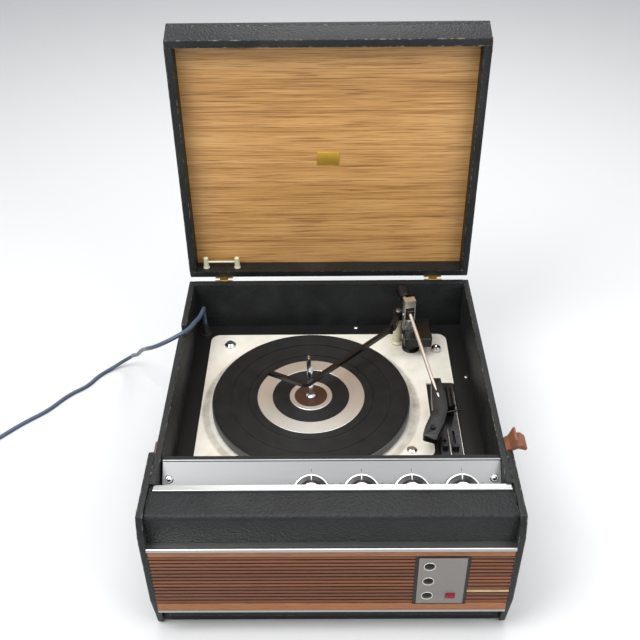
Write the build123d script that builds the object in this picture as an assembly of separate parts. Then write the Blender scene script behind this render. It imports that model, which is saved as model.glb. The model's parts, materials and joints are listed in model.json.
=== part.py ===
from build123d import *
import os
from math import acos, cos, degrees, pi, radians, sin, sqrt, tan

# A portable record player, standing on its feet with its lid open. Lengths are in millimetres.
# It is laid out from the point of the floor under the middle of the case, with X to the right,
# Y to the back and Z up. Each finished piece is then moved by TO_ORIGIN, so that the origin
# is at floor level under the middle of the whole player.

TO_ORIGIN = Vector(-7.5, -14.5, 0)

# Case boards
CASE_WIDTH = 415.0
CASE_DEPTH = 441.0
RIM_Z = 210.0
SIDE_T = 8.0
REAR_T = 10.0
FRONT_T = 9.0
BASE_T = 9.0
FOOT_H = 4.0
FOOT_R = 11.0
FOOT_INSET = 22.0
FACE_FORWARD = 7.0
CHEEK_T = 8.0
CHEEK_BACK = 97.0
BATTEN = 12.0

SIDE_X = CASE_WIDTH / 2
INNER_X = SIDE_X - SIDE_T
BACK_Y = CASE_DEPTH / 2
INNER_BACK_Y = BACK_Y - REAR_T
FACE_Y = -CASE_DEPTH / 2 - FACE_FORWARD
BOARD_BACK_Y = FACE_Y + FRONT_T
BASE_TOP = FOOT_H + BASE_T

# Front, from the floor up
PLINTH_H = 41.0
PLINTH_SET_BACK = 10.5
PLINTH_T = 12.0
STRIP_H = 4.0
LOWER_RAIL_H = 14.0
RIB_COUNT = 14
RIB_PITCH = 6.25
RIB_H = 3.7
UPPER_RAIL_H = 11.0
RIB_DEPTH = 9.5
CLOTH_T = 0.5
TRIM_T = 3.0
TRIM_BEAD_R = 2.7
FASCIA_H = 42.0
FASCIA_FOLD_R = 6.0
LEDGE_DEPTH = 46.5

STRIP_Z = FOOT_H + PLINTH_H
LOWER_RAIL_Z = STRIP_Z + STRIP_H
RIBS_Z = LOWER_RAIL_Z + LOWER_RAIL_H
UPPER_RAIL_Z = RIBS_Z + RIB_COUNT * RIB_PITCH
TRIM_Z = UPPER_RAIL_Z + UPPER_RAIL_H
FASCIA_Z = TRIM_Z + TRIM_T
LEDGE_TOP = FASCIA_Z + FASCIA_H
LEDGE_UNDER = LEDGE_TOP - FRONT_T
LEDGE_BACK_Y = FACE_Y + LEDGE_DEPTH
CLOTH_Y = FACE_Y - CLOTH_T
RIB_FRONT_Y = CLOTH_Y - RIB_DEPTH

# Bright strip on the ledge
LIP_DEPTH = 9.5
LIP_T = 1.2
LIP_BEAD_R = 1.4
LIP_LEFT = -202.0
LIP_RIGHT = 205.0

# Socket panel
SOCKET_X = 127.0
SOCKET_PLATE_W = 55.0
SOCKET_FRAME = 4.0
SOCKET_PLATE_T = 2.0
SOCKET_STAND = 9.0
SOCKET_DROP = 12.5
SOCKET_PITCH = 27.0
SOCKET_TOP_Z = 134.0
SOCKET_R = 6.5
SOCKET_COLUMN = -15.0
JEWEL_COLUMN = 12.0
JEWEL_W = 12.0
JEWEL_H = 8.0
JEWEL_OUT = 2.0

SOCKET_FACE_Y = CLOTH_Y - SOCKET_STAND

# Loudspeaker
SPEAKER_X = -60.0
SPEAKER_Z = 105.0
SPEAKER_R = 44.0
SPEAKER_FLANGE = 9.0
SPEAKER_DEPTH = 34.0
MAGNET_R = 26.0
MAGNET_H = 18.0

# Control trough
PANEL_T = 1.5
PANEL_BACK_Y = -141.5
PANEL_BACK_Z = 207.0
PANEL_SLOPE = radians(40)
PANEL_RUN = 54.0
PANEL_LEFT = -197.0
PANEL_RIGHT = 199.0
PANEL_BEAD_R = 1.5
CROSS_BOARD_T = 9.0
KNOB_X = (-22.5, 36.0, 94.5, 153.0)
KNOB_DOWN = 39.0
KNOB_R = 22.0
KNOB_SKIRT_H = 4.4
KNOB_GRIP_R = 14.5
KNOB_H = 11.5
KNOB_LIFT = 0.6
KNOB_RING_W = 1.6
KNOB_RING_H = 0.8
KNOB_FLUTES = 12
SHAFT_R = 3.0
SHAFT_GAP = 0.05
BUSH_R = 5.0
POT_R = 12.0
POT_H = 10.0

# Deck
DECK_Z = 133.0
MOTOR_BOARD_T = 9.0
PLATE_T = 2.0
PLATE_TOP = DECK_Z + PLATE_T
PLATE_LEFT = -176.5
PLATE_RIGHT = 175.0
PLATE_BACK_Y = 185.0
PLATE_FRONT_Y = -98.5
PLATE_CORNER_X = 136.0
PLATE_CORNER_Y = -69.5
PLATE_STEP_X = 97.5
ESCUTCHEON_LEFT = 142.5
ESCUTCHEON_RIGHT = 173.5
ESCUTCHEON_BACK_Y = 72.5
ESCUTCHEON_FRONT_Y = -95.0
ESCUTCHEON_T = 4.0
SPEED_LEVER = (162.7, -55.7)
START_LEVER = (150.0, -54.4)
LEVER_SLOT_W = 3.0
SPEED_TRAVEL = 28.0
START_TRAVEL = 12.0

# Turntable
PLATTER_X = -25.5
PLATTER_Y = 29.5
PLATTER_R = 134.5
PLATTER_WALL = 2.5
PLATTER_SKIRT = 11.5
PLATTER_T = 3.0
MAT_R = 133.0
MAT_T = 3.0
MAT_TOP = 153.0
RING_T = 0.35
WIDE_RING = (52.0, 72.8)
NARROW_RING = (22.0, 28.9)
SPINDLE_R = 3.5
SPINDLE_TIP_Z = 222.5
SPINDLE_STEP_Z = 198.0
SPINDLE_OFFSET = 2.0
BOSS_R = 9.0
IDLER_R = 20.0
IDLER_HUB_R = 16.0
IDLER_W = 5.0
IDLER_Z = 140.5
IDLER_ANGLE = radians(118)
DRIVE_GAP = 0.03
PULLEY_R = 4.0
PULLEY_ANGLE = radians(-65)

MAT_BOTTOM = MAT_TOP - MAT_T
PLATTER_UNDER = MAT_BOTTOM - PLATTER_T
PLATTER_INNER_R = PLATTER_R - PLATTER_WALL
IDLER_OUT = PLATTER_INNER_R - IDLER_R - DRIVE_GAP
IDLER_X = PLATTER_X + IDLER_OUT * cos(IDLER_ANGLE)
IDLER_Y = PLATTER_Y + IDLER_OUT * sin(IDLER_ANGLE)
PULLEY_X = IDLER_X + (IDLER_R + PULLEY_R + DRIVE_GAP) * cos(PULLEY_ANGLE)
PULLEY_Y = IDLER_Y + (IDLER_R + PULLEY_R + DRIVE_GAP) * sin(PULLEY_ANGLE)

# Pickup arm, pointing to the front and a little to the right
ARM_X = 114.5
ARM_Y = 152.5
ARM_TIP = (144.0, -1.0, 173.0)
ARM_ROOT_Z = 203.0
ARM_TUBE_R = 2.5
ARM_PIVOT_Z = 198.0
ARM_PIN_R = 1.5
ARM_POST_R = 3.0
ARM_BEARING_Z = 172.5
SADDLE_TOP = 224.0
SADDLE_HALF_W = 8.0
SADDLE_T = 1.5
WEIGHT_R = 8.0
WEIGHT_NEAR = 26.0
WEIGHT_FAR = 44.0
HOUSING_LEFT = 108.5
HOUSING_RIGHT = 148.0
HOUSING_FRONT_Y = 127.0
HOUSING_BACK_Y = 178.0
HOUSING_Z = 157.0
HOUSING_TOP = 172.0
HEAD_BOTTOM = 160.0
STYLUS_Z = 155.0

# Record overarm
OVERARM_X = 101.0
OVERARM_Y = 165.0
SLEEVE_R = 6.5
SLEEVE_TOP = 181.0
OVERARM_Z = 182.3
OVERARM_H = 5.6
OVERARM_W = 6.0
OVERARM_HEAD_H = 12.5
OVERARM_BOSS_R = 8.0
OVERARM_ROUTE = ((91.5, 136.5), (-28.0, 17.5), (-35.5, 16.5), (-80.5, 39.5))

# Lid, in its open place: its rim faces the front and its panel is at the back
HINGE_Y = BACK_Y + 5.0
HINGE_Z = RIM_Z - 6.0
HINGE_SETBACK = 5.0
HINGE_R = 3.5
HINGE_PIN_R = 1.5
HINGE_LEAF_T = 1.5
HINGE_W = 26.0
HINGE_X = (-157.0, 155.5)
LID_RIM_Y = HINGE_Y + 6.5
LID_DEPTH = 35.5
LID_BOARD_T = 8.5
LID_WALL = 9.5
LID_LENGTH = 362.0
LID_SLOPE = 12.0
LINING_T = 2.0

LID_BOTTOM_Z = HINGE_Z + HINGE_SETBACK
LID_BACK_Y = LID_RIM_Y + LID_DEPTH
LID_BOARD_Y = LID_BACK_Y - LID_BOARD_T
LID_RIM_TOP = LID_BOTTOM_Z + LID_LENGTH
LID_INNER_TOP = LID_RIM_TOP - LID_WALL
LID_INNER_BOTTOM = LID_BOTTOM_Z + LID_WALL
LID_INNER_X = SIDE_X - LID_WALL

# Mains lead
CORD_R = 3.0
CORD_GAP = 6.5
COIL_INNER_R = 30.0
COIL_LOWER_TURNS = 1.25
COIL_UPPER_TURNS = 1.5
COIL_CLIMB = 0.5
GROMMET_H = 22.0
NOTCH_Y = (89.0, 115.0)
NOTCH_Z = 199.0
CORD_ROUTE = (
    (-186.0, 190.0, DECK_Z + GROMMET_H),
    (-186.0, 190.0, 173.0),
    (-184.5, 181.5, 189.0),
    (-181.0, 162.5, 202.0),
    (-184.5, 139.0, 204.0),
    (-189.5, 124.5, 207.0),
    (-195.0, 109.5, 207.0),
    (-208.5, 95.0, 206.5),
    (-226.5, 87.5, 200.5),
    (-245.0, 90.0, 189.5),
    (-260.0, 105.5, 174.5),
    (-264.5, 134.5, 151.0),
    (-282.5, 165.0, 123.5),
    (-297.0, 196.0, 88.5),
    (-315.0, 227.5, 61.0),
    (-320.5, 261.5, 34.0),
    (-340.5, 271.0, 14.5),
    (-363.0, 263.5, CORD_R),
    (-382.0, 244.0, CORD_R),
    (-393.5, 219.5, CORD_R),
    (-421.5, 198.0, CORD_R),
    (-444.5, 162.0, CORD_R),
    (-476.0, 135.5, CORD_R),
    (-506.5, 101.5, CORD_R),
    (-528.0, 77.0, CORD_R),
)


def slab(x, y, z):
    """A block between pairs of limits."""
    size = (x[1] - x[0], y[1] - y[0], z[1] - z[0])
    return Pos((x[0] + x[1]) / 2, (y[0] + y[1]) / 2, (z[0] + z[1]) / 2) * Box(*size)


def rod(start, end, radius):
    """A round bar from one point to another."""
    start, end = Vector(*start), Vector(*end)
    lengthways = Plane(origin=start, z_dir=end - start)
    return lengthways.location * Cylinder(
        radius, (end - start).length, align=(Align.CENTER, Align.CENTER, Align.MIN)
    )


def post(x, y, z, radius):
    """An upright round bar between a pair of heights."""
    return rod((x, y, z[0]), (x, y, z[1]), radius)


def drawn_x(outline, x):
    """An outline of (y, z) points, drawn out across the player."""
    face = make_face(Polyline(*[(x[0], y, z) for y, z in outline], close=True))
    return extrude(face, amount=x[1] - x[0], dir=(1, 0, 0))


def drawn_z(outline, z):
    """An outline of (x, y) points, drawn upwards."""
    face = make_face(Polyline(*[(x, y, z[0]) for x, y in outline], close=True))
    return extrude(face, amount=z[1] - z[0], dir=(0, 0, 1))


def turned(outline, x=0.0, y=0.0):
    """An outline of (radius, z) points, turned about an upright axis."""
    face = make_face(Polyline(*[(r, 0, z) for r, z in outline], close=True))
    return Pos(x, y, 0) * revolve(face, Axis.Z)


def bar(start, end, width, z):
    """A flat bar with rounded ends between two (x, y) points."""
    run = Vector(end[0] - start[0], end[1] - start[1])
    across = Vector(-run.Y, run.X).normalized() * (width / 2)
    sides = [
        (start[0] + across.X, start[1] + across.Y),
        (start[0] - across.X, start[1] - across.Y),
        (end[0] - across.X, end[1] - across.Y),
        (end[0] + across.X, end[1] + across.Y),
    ]
    return drawn_z(sides, z) + post(*start, z, width / 2) + post(*end, z, width / 2)


def domed_screw(x, y, z, radius, height):
    """A slotted screw head with a low dome, standing on the surface at z."""
    head = turned(
        [(0, z), (radius, z), (radius, z + 0.45 * height), (0.6 * radius, z + height), (0, z + height)], x, y
    )
    slot = slab(
        (x - radius, x + radius), (y - 0.12 * radius, y + 0.12 * radius), (z + 0.6 * height, z + 2 * height)
    )
    return head - slot


def both_sides(solid):
    """A solid and its mirror image on the other side of the player."""
    return [solid, mirror(solid, Plane.YZ)]


def save(name, *pieces):
    """Write one sub-part, with each of its pieces as a solid of its own."""
    solids = [solid for piece in pieces for solid in piece.solids()]
    moved = [solid.moved(Location(TO_ORIGIN)) for solid in solids]
    export_step(Compound(children=moved), "parts/" + name + ".step")


# Case

def side_board(x):
    """A side of the case. Its top stops behind the ledge, and its front carries the front boards."""
    return drawn_x(
        [
            (BACK_Y, FOOT_H),
            (BACK_Y, RIM_Z),
            (LEDGE_BACK_Y, RIM_Z),
            (LEDGE_BACK_Y, LEDGE_UNDER),
            (BOARD_BACK_Y, LEDGE_UNDER),
            (BOARD_BACK_Y, FOOT_H),
        ],
        x,
    )


def make_case():
    """The covered boards of the case, and the battens that join them."""
    save("base_board", slab((-INNER_X, INNER_X), (BOARD_BACK_Y, INNER_BACK_Y), (FOOT_H, BASE_TOP)))

    cord_notch = slab((-SIDE_X - 1, -INNER_X + 1), NOTCH_Y, (NOTCH_Z, RIM_Z + 1))
    cord_notch = fillet(cord_notch.edges().filter_by(Axis.X).group_by(Axis.Z)[0], 4.0)
    save("left_side", side_board((-SIDE_X, -INNER_X)) - cord_notch)
    save("right_side", side_board((INNER_X, SIDE_X)))

    rear = slab((-INNER_X, INNER_X), (INNER_BACK_Y, BACK_Y), (FOOT_H, RIM_Z))
    vent = fillet(
        slab((-3, 3), (INNER_BACK_Y - 1, BACK_Y + 1), (42, 92)).edges().filter_by(Axis.Y), 2.9
    )
    for place in range(6):
        rear -= Pos((place - 2.5) * 18.0, 0, 0) * vent
    save("rear_panel", rear)

    cheek = drawn_x(
        [
            (FACE_Y + CHEEK_BACK, FOOT_H),
            (FACE_Y + CHEEK_BACK, RIM_Z),
            (FACE_Y - 2.0, RIM_Z),
            (FACE_Y - 6.0, RIM_Z - 9.5),
            (RIB_FRONT_Y - 1.0, RIM_Z - 29.0),
            (RIB_FRONT_Y, 127.0),
            (RIB_FRONT_Y + 1.0, 68.0),
            (FACE_Y + 6.0, FOOT_H),
        ],
        (SIDE_X, SIDE_X + CHEEK_T),
    )
    cheek = chamfer(cheek.faces().sort_by(Axis.X)[-1].edges(), 1.0)
    save("side_cheeks", *both_sides(cheek))

    fascia = drawn_x(
        [
            (FACE_Y, FASCIA_Z),
            (FACE_Y, LEDGE_TOP),
            (LEDGE_BACK_Y, LEDGE_TOP),
            (LEDGE_BACK_Y, LEDGE_UNDER),
            (BOARD_BACK_Y, LEDGE_UNDER),
            (BOARD_BACK_Y, FASCIA_Z),
        ],
        (-SIDE_X, SIDE_X),
    )
    fold = fascia.edges().filter_by(Axis.X).sort_by(lambda edge: edge.center().Z - edge.center().Y)[-1]
    save("front_fascia", fillet(fold, FASCIA_FOLD_R))

    cross_board = slab(
        (-INNER_X, INNER_X), (PANEL_BACK_Y, PANEL_BACK_Y + CROSS_BOARD_T), (BASE_TOP, PANEL_BACK_Z - 2.4)
    )
    deck_bottom = DECK_Z - MOTOR_BOARD_T
    side_batten = slab(
        (INNER_X - BATTEN, INNER_X),
        (PANEL_BACK_Y + CROSS_BOARD_T, INNER_BACK_Y),
        (deck_bottom - BATTEN, deck_bottom),
    )
    rear_batten = slab(
        (-INNER_X + BATTEN, INNER_X - BATTEN),
        (INNER_BACK_Y - BATTEN, INNER_BACK_Y),
        (deck_bottom - BATTEN, deck_bottom),
    )
    front_batten = slab(
        (-INNER_X, INNER_X), (BOARD_BACK_Y, BOARD_BACK_Y + BATTEN), (LEDGE_UNDER - BATTEN, LEDGE_UNDER)
    )
    save("inner_framing", cross_board, *both_sides(side_batten), rear_batten, front_batten)

    plinth_y = BOARD_BACK_Y + PLINTH_SET_BACK
    plinth = slab((-INNER_X, INNER_X), (plinth_y - PLINTH_T, plinth_y), (BASE_TOP, STRIP_Z))
    save("plinth", plinth)

    foot = turned([(0, 0), (FOOT_R - 1.5, 0), (FOOT_R, FOOT_H), (0, FOOT_H)])
    foot_x = INNER_X - FOOT_INSET
    foot_y = (BOARD_BACK_Y + FOOT_INSET, INNER_BACK_Y - FOOT_INSET)
    save("feet", *[Pos(x, y, 0) * foot for x in (-foot_x, foot_x) for y in foot_y])


# Front

def rib(x, z, height):
    """A wooden bar of the grille with a rounded front, seated on the cloth."""
    round_r = height / 2
    flat_y = RIB_FRONT_Y + round_r
    outline = Wire(
        [
            Line((x[0], flat_y, z), (x[0], CLOTH_Y, z)),
            Line((x[0], CLOTH_Y, z), (x[0], CLOTH_Y, z + height)),
            Line((x[0], CLOTH_Y, z + height), (x[0], flat_y, z + height)),
            ThreePointArc(
                (x[0], flat_y, z + height), (x[0], RIB_FRONT_Y, z + round_r), (x[0], flat_y, z)
            ),
        ]
    )
    return extrude(Face(outline), amount=x[1] - x[0], dir=(1, 0, 0))


def rail(x, z):
    """A flat rail of the grille with eased front edges."""
    whole = slab(x, (RIB_FRONT_Y, CLOTH_Y), z)
    return fillet(whole.faces().sort_by(Axis.Y)[0].edges().filter_by(Axis.X), 1.0)


def make_front():
    """The grille with its cloth and baffle, the metal strips and the socket panel."""
    frame_half = SOCKET_PLATE_W / 2 + SOCKET_FRAME
    frame_x = (SOCKET_X - frame_half, SOCKET_X + frame_half)
    frame_z = (RIBS_Z - 2.0, UPPER_RAIL_Z)
    body_x = (SOCKET_X - frame_half + 6, SOCKET_X + frame_half - 6)
    body_z = (frame_z[0] + 6, frame_z[1] - 6)

    baffle = slab((-SIDE_X, SIDE_X), (FACE_Y, BOARD_BACK_Y), (STRIP_Z, TRIM_Z))
    baffle -= rod((SPEAKER_X, FACE_Y - 1, SPEAKER_Z), (SPEAKER_X, BOARD_BACK_Y + 1, SPEAKER_Z), SPEAKER_R)
    baffle -= slab(body_x, (FACE_Y - 1, BOARD_BACK_Y + 1), body_z)
    save("baffle_board", baffle)

    cloth = slab((-SIDE_X, SIDE_X), (CLOTH_Y, FACE_Y), (STRIP_Z, TRIM_Z))
    save("speaker_cloth", cloth - slab(body_x, (CLOTH_Y - 1, FACE_Y + 1), body_z))

    left_x = (-SIDE_X, frame_x[0])
    right_x = (frame_x[1], SIDE_X)
    bars = [rail((-SIDE_X, SIDE_X), (UPPER_RAIL_Z, TRIM_Z))]
    lower = rail((-SIDE_X, SIDE_X), (LOWER_RAIL_Z, RIBS_Z))
    lower -= slab(frame_x, (RIB_FRONT_Y - 1, CLOTH_Y + 1), (frame_z[0], RIBS_Z + 1))
    bars.append(lower)
    for row in range(RIB_COUNT):
        z = RIBS_Z + row * RIB_PITCH + (RIB_PITCH - RIB_H) / 2
        bars.append(rib(left_x, z, RIB_H))
        bars.append(rib(right_x, z, RIB_H))
    save("grille", *bars)

    plate_x = (frame_x[0] + SOCKET_FRAME, frame_x[1] - SOCKET_FRAME)
    plate_z = (frame_z[0] + SOCKET_FRAME, frame_z[1] - SOCKET_FRAME / 2)
    sockets = [(SOCKET_X + SOCKET_COLUMN, SOCKET_TOP_Z - row * SOCKET_PITCH) for row in range(3)]
    moulding = slab(frame_x, (SOCKET_FACE_Y, CLOTH_Y), frame_z)
    moulding = fillet(moulding.faces().sort_by(Axis.Y)[0].edges(), 0.8)
    moulding += slab(body_x, (CLOTH_Y, BOARD_BACK_Y), body_z)
    plate = slab(plate_x, (SOCKET_FACE_Y - SOCKET_PLATE_T, SOCKET_FACE_Y), plate_z)
    plate = fillet(plate.edges().filter_by(Axis.Y), 1.5)
    for x, z in sockets:
        moulding -= rod((x, BOARD_BACK_Y + 1, z), (x, SOCKET_FACE_Y - 1, z), SOCKET_R)
        plate -= rod((x, SOCKET_FACE_Y + 1, z), (x, SOCKET_FACE_Y - SOCKET_PLATE_T - 1, z), SOCKET_R + 0.8)
    save("socket_moulding", moulding)
    save("socket_plate", plate)

    jewel_y = SOCKET_FACE_Y - SOCKET_PLATE_T
    jewel = slab((-JEWEL_W / 2, JEWEL_W / 2), (jewel_y - JEWEL_OUT, jewel_y), (-JEWEL_H / 2, JEWEL_H / 2))
    jewel = chamfer(jewel.faces().sort_by(Axis.Y)[0].edges(), 1.4)
    save("pilot_jewel", Pos(SOCKET_X + JEWEL_COLUMN, 0, sockets[2][1]) * jewel)

    lip_y = LEDGE_BACK_Y - LIP_DEPTH
    lip = slab((LIP_LEFT, LIP_RIGHT), (lip_y, LEDGE_BACK_Y), (LEDGE_TOP, LEDGE_TOP + LIP_T))
    bead_y = lip_y + LIP_BEAD_R
    bead_z = LEDGE_TOP + LIP_BEAD_R
    lip += rod((LIP_LEFT, bead_y, bead_z), (LIP_RIGHT, bead_y, bead_z), LIP_BEAD_R)
    middle = slab((-SIDE_X, SIDE_X), (RIB_FRONT_Y, BOARD_BACK_Y), (TRIM_Z, FASCIA_Z))
    middle_z = TRIM_Z + TRIM_T / 2
    middle += rod((-SIDE_X, RIB_FRONT_Y, middle_z), (SIDE_X, RIB_FRONT_Y, middle_z), TRIM_BEAD_R)
    middle -= slab((-SIDE_X - 1, SIDE_X + 1), (RIB_FRONT_Y, CLOTH_Y), (TRIM_Z - 3, TRIM_Z))
    bottom = slab((-SIDE_X, SIDE_X), (RIB_FRONT_Y, CLOTH_Y), (STRIP_Z, LOWER_RAIL_Z))
    bottom = fillet(bottom.faces().sort_by(Axis.Y)[0].edges().filter_by(Axis.X), 1.5)
    save("trim_strips", lip, middle, bottom)


def make_loudspeaker():
    """The loudspeaker behind the baffle: basket, magnet and paper cone."""
    front = Plane(origin=(SPEAKER_X, BOARD_BACK_Y, SPEAKER_Z), x_dir=(1, 0, 0), z_dir=(0, 1, 0)).location
    flange = front * Cylinder(SPEAKER_R + SPEAKER_FLANGE, 2, align=(Align.CENTER, Align.CENTER, Align.MIN))

    def funnel(shrink, start, end):
        """A solid that narrows from the mouth to the throat."""
        return front * turned(
            [(0, start), (SPEAKER_R - shrink, start), (MAGNET_R - shrink, end), (0, end)]
        )

    basket = flange + funnel(0.0, 0.5, SPEAKER_DEPTH)
    basket -= funnel(2.0, 0.0, SPEAKER_DEPTH)
    window = slab((-16, 16), (BOARD_BACK_Y + 9, BOARD_BACK_Y + 25), (-80, 80))
    basket -= Pos(SPEAKER_X, 0, SPEAKER_Z) * window
    back_y = BOARD_BACK_Y + SPEAKER_DEPTH
    magnet = rod((SPEAKER_X, back_y, SPEAKER_Z), (SPEAKER_X, back_y + MAGNET_H, SPEAKER_Z), MAGNET_R)
    save("speaker_frame", basket, magnet)

    cone = funnel(3.6, 0.0, SPEAKER_DEPTH) - funnel(4.4, 0.0, SPEAKER_DEPTH)
    cap_y = BOARD_BACK_Y + SPEAKER_DEPTH
    cap = rod((SPEAKER_X, cap_y - 4, SPEAKER_Z), (SPEAKER_X, cap_y, SPEAKER_Z), MAGNET_R - 8)
    save("speaker_cone", cone, cap)


# Controls

def on_panel(x):
    """The place on the sloping control panel where the shaft at x comes out of it."""
    y = PANEL_BACK_Y - KNOB_DOWN * cos(PANEL_SLOPE)
    z = PANEL_BACK_Z - KNOB_DOWN * sin(PANEL_SLOPE)
    return Plane(origin=(x, y, z), x_dir=(1, 0, 0), z_dir=(0, -sin(PANEL_SLOPE), cos(PANEL_SLOPE)))


def knob():
    """A skirted knob with a fluted grip, and its shaft, standing on the panel."""
    top = KNOB_LIFT + KNOB_H
    skirt_top = KNOB_LIFT + KNOB_SKIRT_H
    body = turned(
        [
            (SHAFT_R, KNOB_LIFT),
            (KNOB_R, KNOB_LIFT),
            (KNOB_R, skirt_top),
            (KNOB_R - KNOB_RING_W, skirt_top + KNOB_RING_H),
            (KNOB_GRIP_R, skirt_top + KNOB_RING_H),
            (KNOB_GRIP_R - 1.0, top),
            (0, top),
            (0, top - 2.0),
            (SHAFT_R, top - 2.0),
        ]
    )
    flute = Pos(KNOB_GRIP_R + 1.2, 0, skirt_top + KNOB_RING_H) * Cylinder(
        2.0, KNOB_H, align=(Align.CENTER, Align.CENTER, Align.MIN)
    )
    for place in range(KNOB_FLUTES):
        body -= Rot(0, 0, (place + 0.5) * 360 / KNOB_FLUTES) * flute
    shaft = post(0, 0, (-PANEL_T - POT_H + 1, top - 2.0), SHAFT_R)
    return body, shaft


def potentiometer():
    """A potentiometer seated under the panel, with its solder tags."""
    bore = post(0, 0, (-PANEL_T - POT_H + 0.5, 5), SHAFT_R + SHAFT_GAP)
    case = post(0, 0, (-PANEL_T - POT_H, -PANEL_T), POT_R)
    tags = Pos(0, -POT_R - 3, -PANEL_T - POT_H / 2) * Box(14, 8, 1.2)
    return case + tags - bore


def make_controls():
    """The bright control trough, its four knobs and the amplifier under it."""
    slope_y = PANEL_BACK_Y - PANEL_RUN
    slope_z = PANEL_BACK_Z - PANEL_RUN * tan(PANEL_SLOPE)
    lower_step = PANEL_T / cos(PANEL_SLOPE)
    panel = drawn_x(
        [
            (PANEL_BACK_Y, PANEL_BACK_Z),
            (slope_y, slope_z),
            (slope_y, LEDGE_UNDER),
            (slope_y - PANEL_T, LEDGE_UNDER),
            (slope_y - PANEL_T, slope_z - lower_step - PANEL_T * tan(PANEL_SLOPE)),
            (PANEL_BACK_Y, PANEL_BACK_Z - lower_step),
        ],
        (PANEL_LEFT, PANEL_RIGHT),
    )
    bead_z = PANEL_BACK_Z - 0.6
    panel += rod((PANEL_LEFT, PANEL_BACK_Y, bead_z), (PANEL_RIGHT, PANEL_BACK_Y, bead_z), PANEL_BEAD_R)
    pots = []
    for name, x in zip(("selector", "volume", "treble", "bass"), KNOB_X):
        place = on_panel(x).location
        panel -= place * post(0, 0, (-5, 5), BUSH_R)
        pots.append(place * potentiometer())
        save("knob_" + name, *[place * piece for piece in knob()])
    save("control_panel", panel)

    screw_down = 22.0
    screw_y = PANEL_BACK_Y - screw_down * cos(PANEL_SLOPE)
    screw_z = PANEL_BACK_Z - screw_down * sin(PANEL_SLOPE)
    screws = []
    for x in (PANEL_LEFT + 8.0, PANEL_RIGHT - 8.0):
        face = Plane(origin=(x, screw_y, screw_z), x_dir=(1, 0, 0), z_dir=on_panel(x).z_dir)
        screw = turned([(0, 0), (5.2, 0), (4.0, 1.3), (3.0, 1.3), (0, 2.4)])
        screw -= Pos(0, 0, 2.4) * Box(8, 0.8, 1.4)
        screws.append(face.location * screw)
    save("panel_screws", *screws)

    chassis = slab((20, 186), (-205, -158), (BASE_TOP, BASE_TOP + 42))
    chassis = fillet(chassis.edges().filter_by(Axis.X).group_by(Axis.Z)[-1], 2.0)
    chassis_top = BASE_TOP + 42
    valve = turned(
        [(0, 0), (10.5, 0), (10.5, 8), (9, 8), (9, 44), (3, 52), (0, 52)]
    )
    valves = [Pos(x, -181, chassis_top) * valve for x in (46, 78)]
    core = slab((108, 158), (-202, -162), (chassis_top, chassis_top + 44))
    windings = slab((116, 150), (-206, -158), (chassis_top + 8, chassis_top + 36))
    save("amplifier", chassis, *valves, core + windings, *pots)


# Deck

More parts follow.
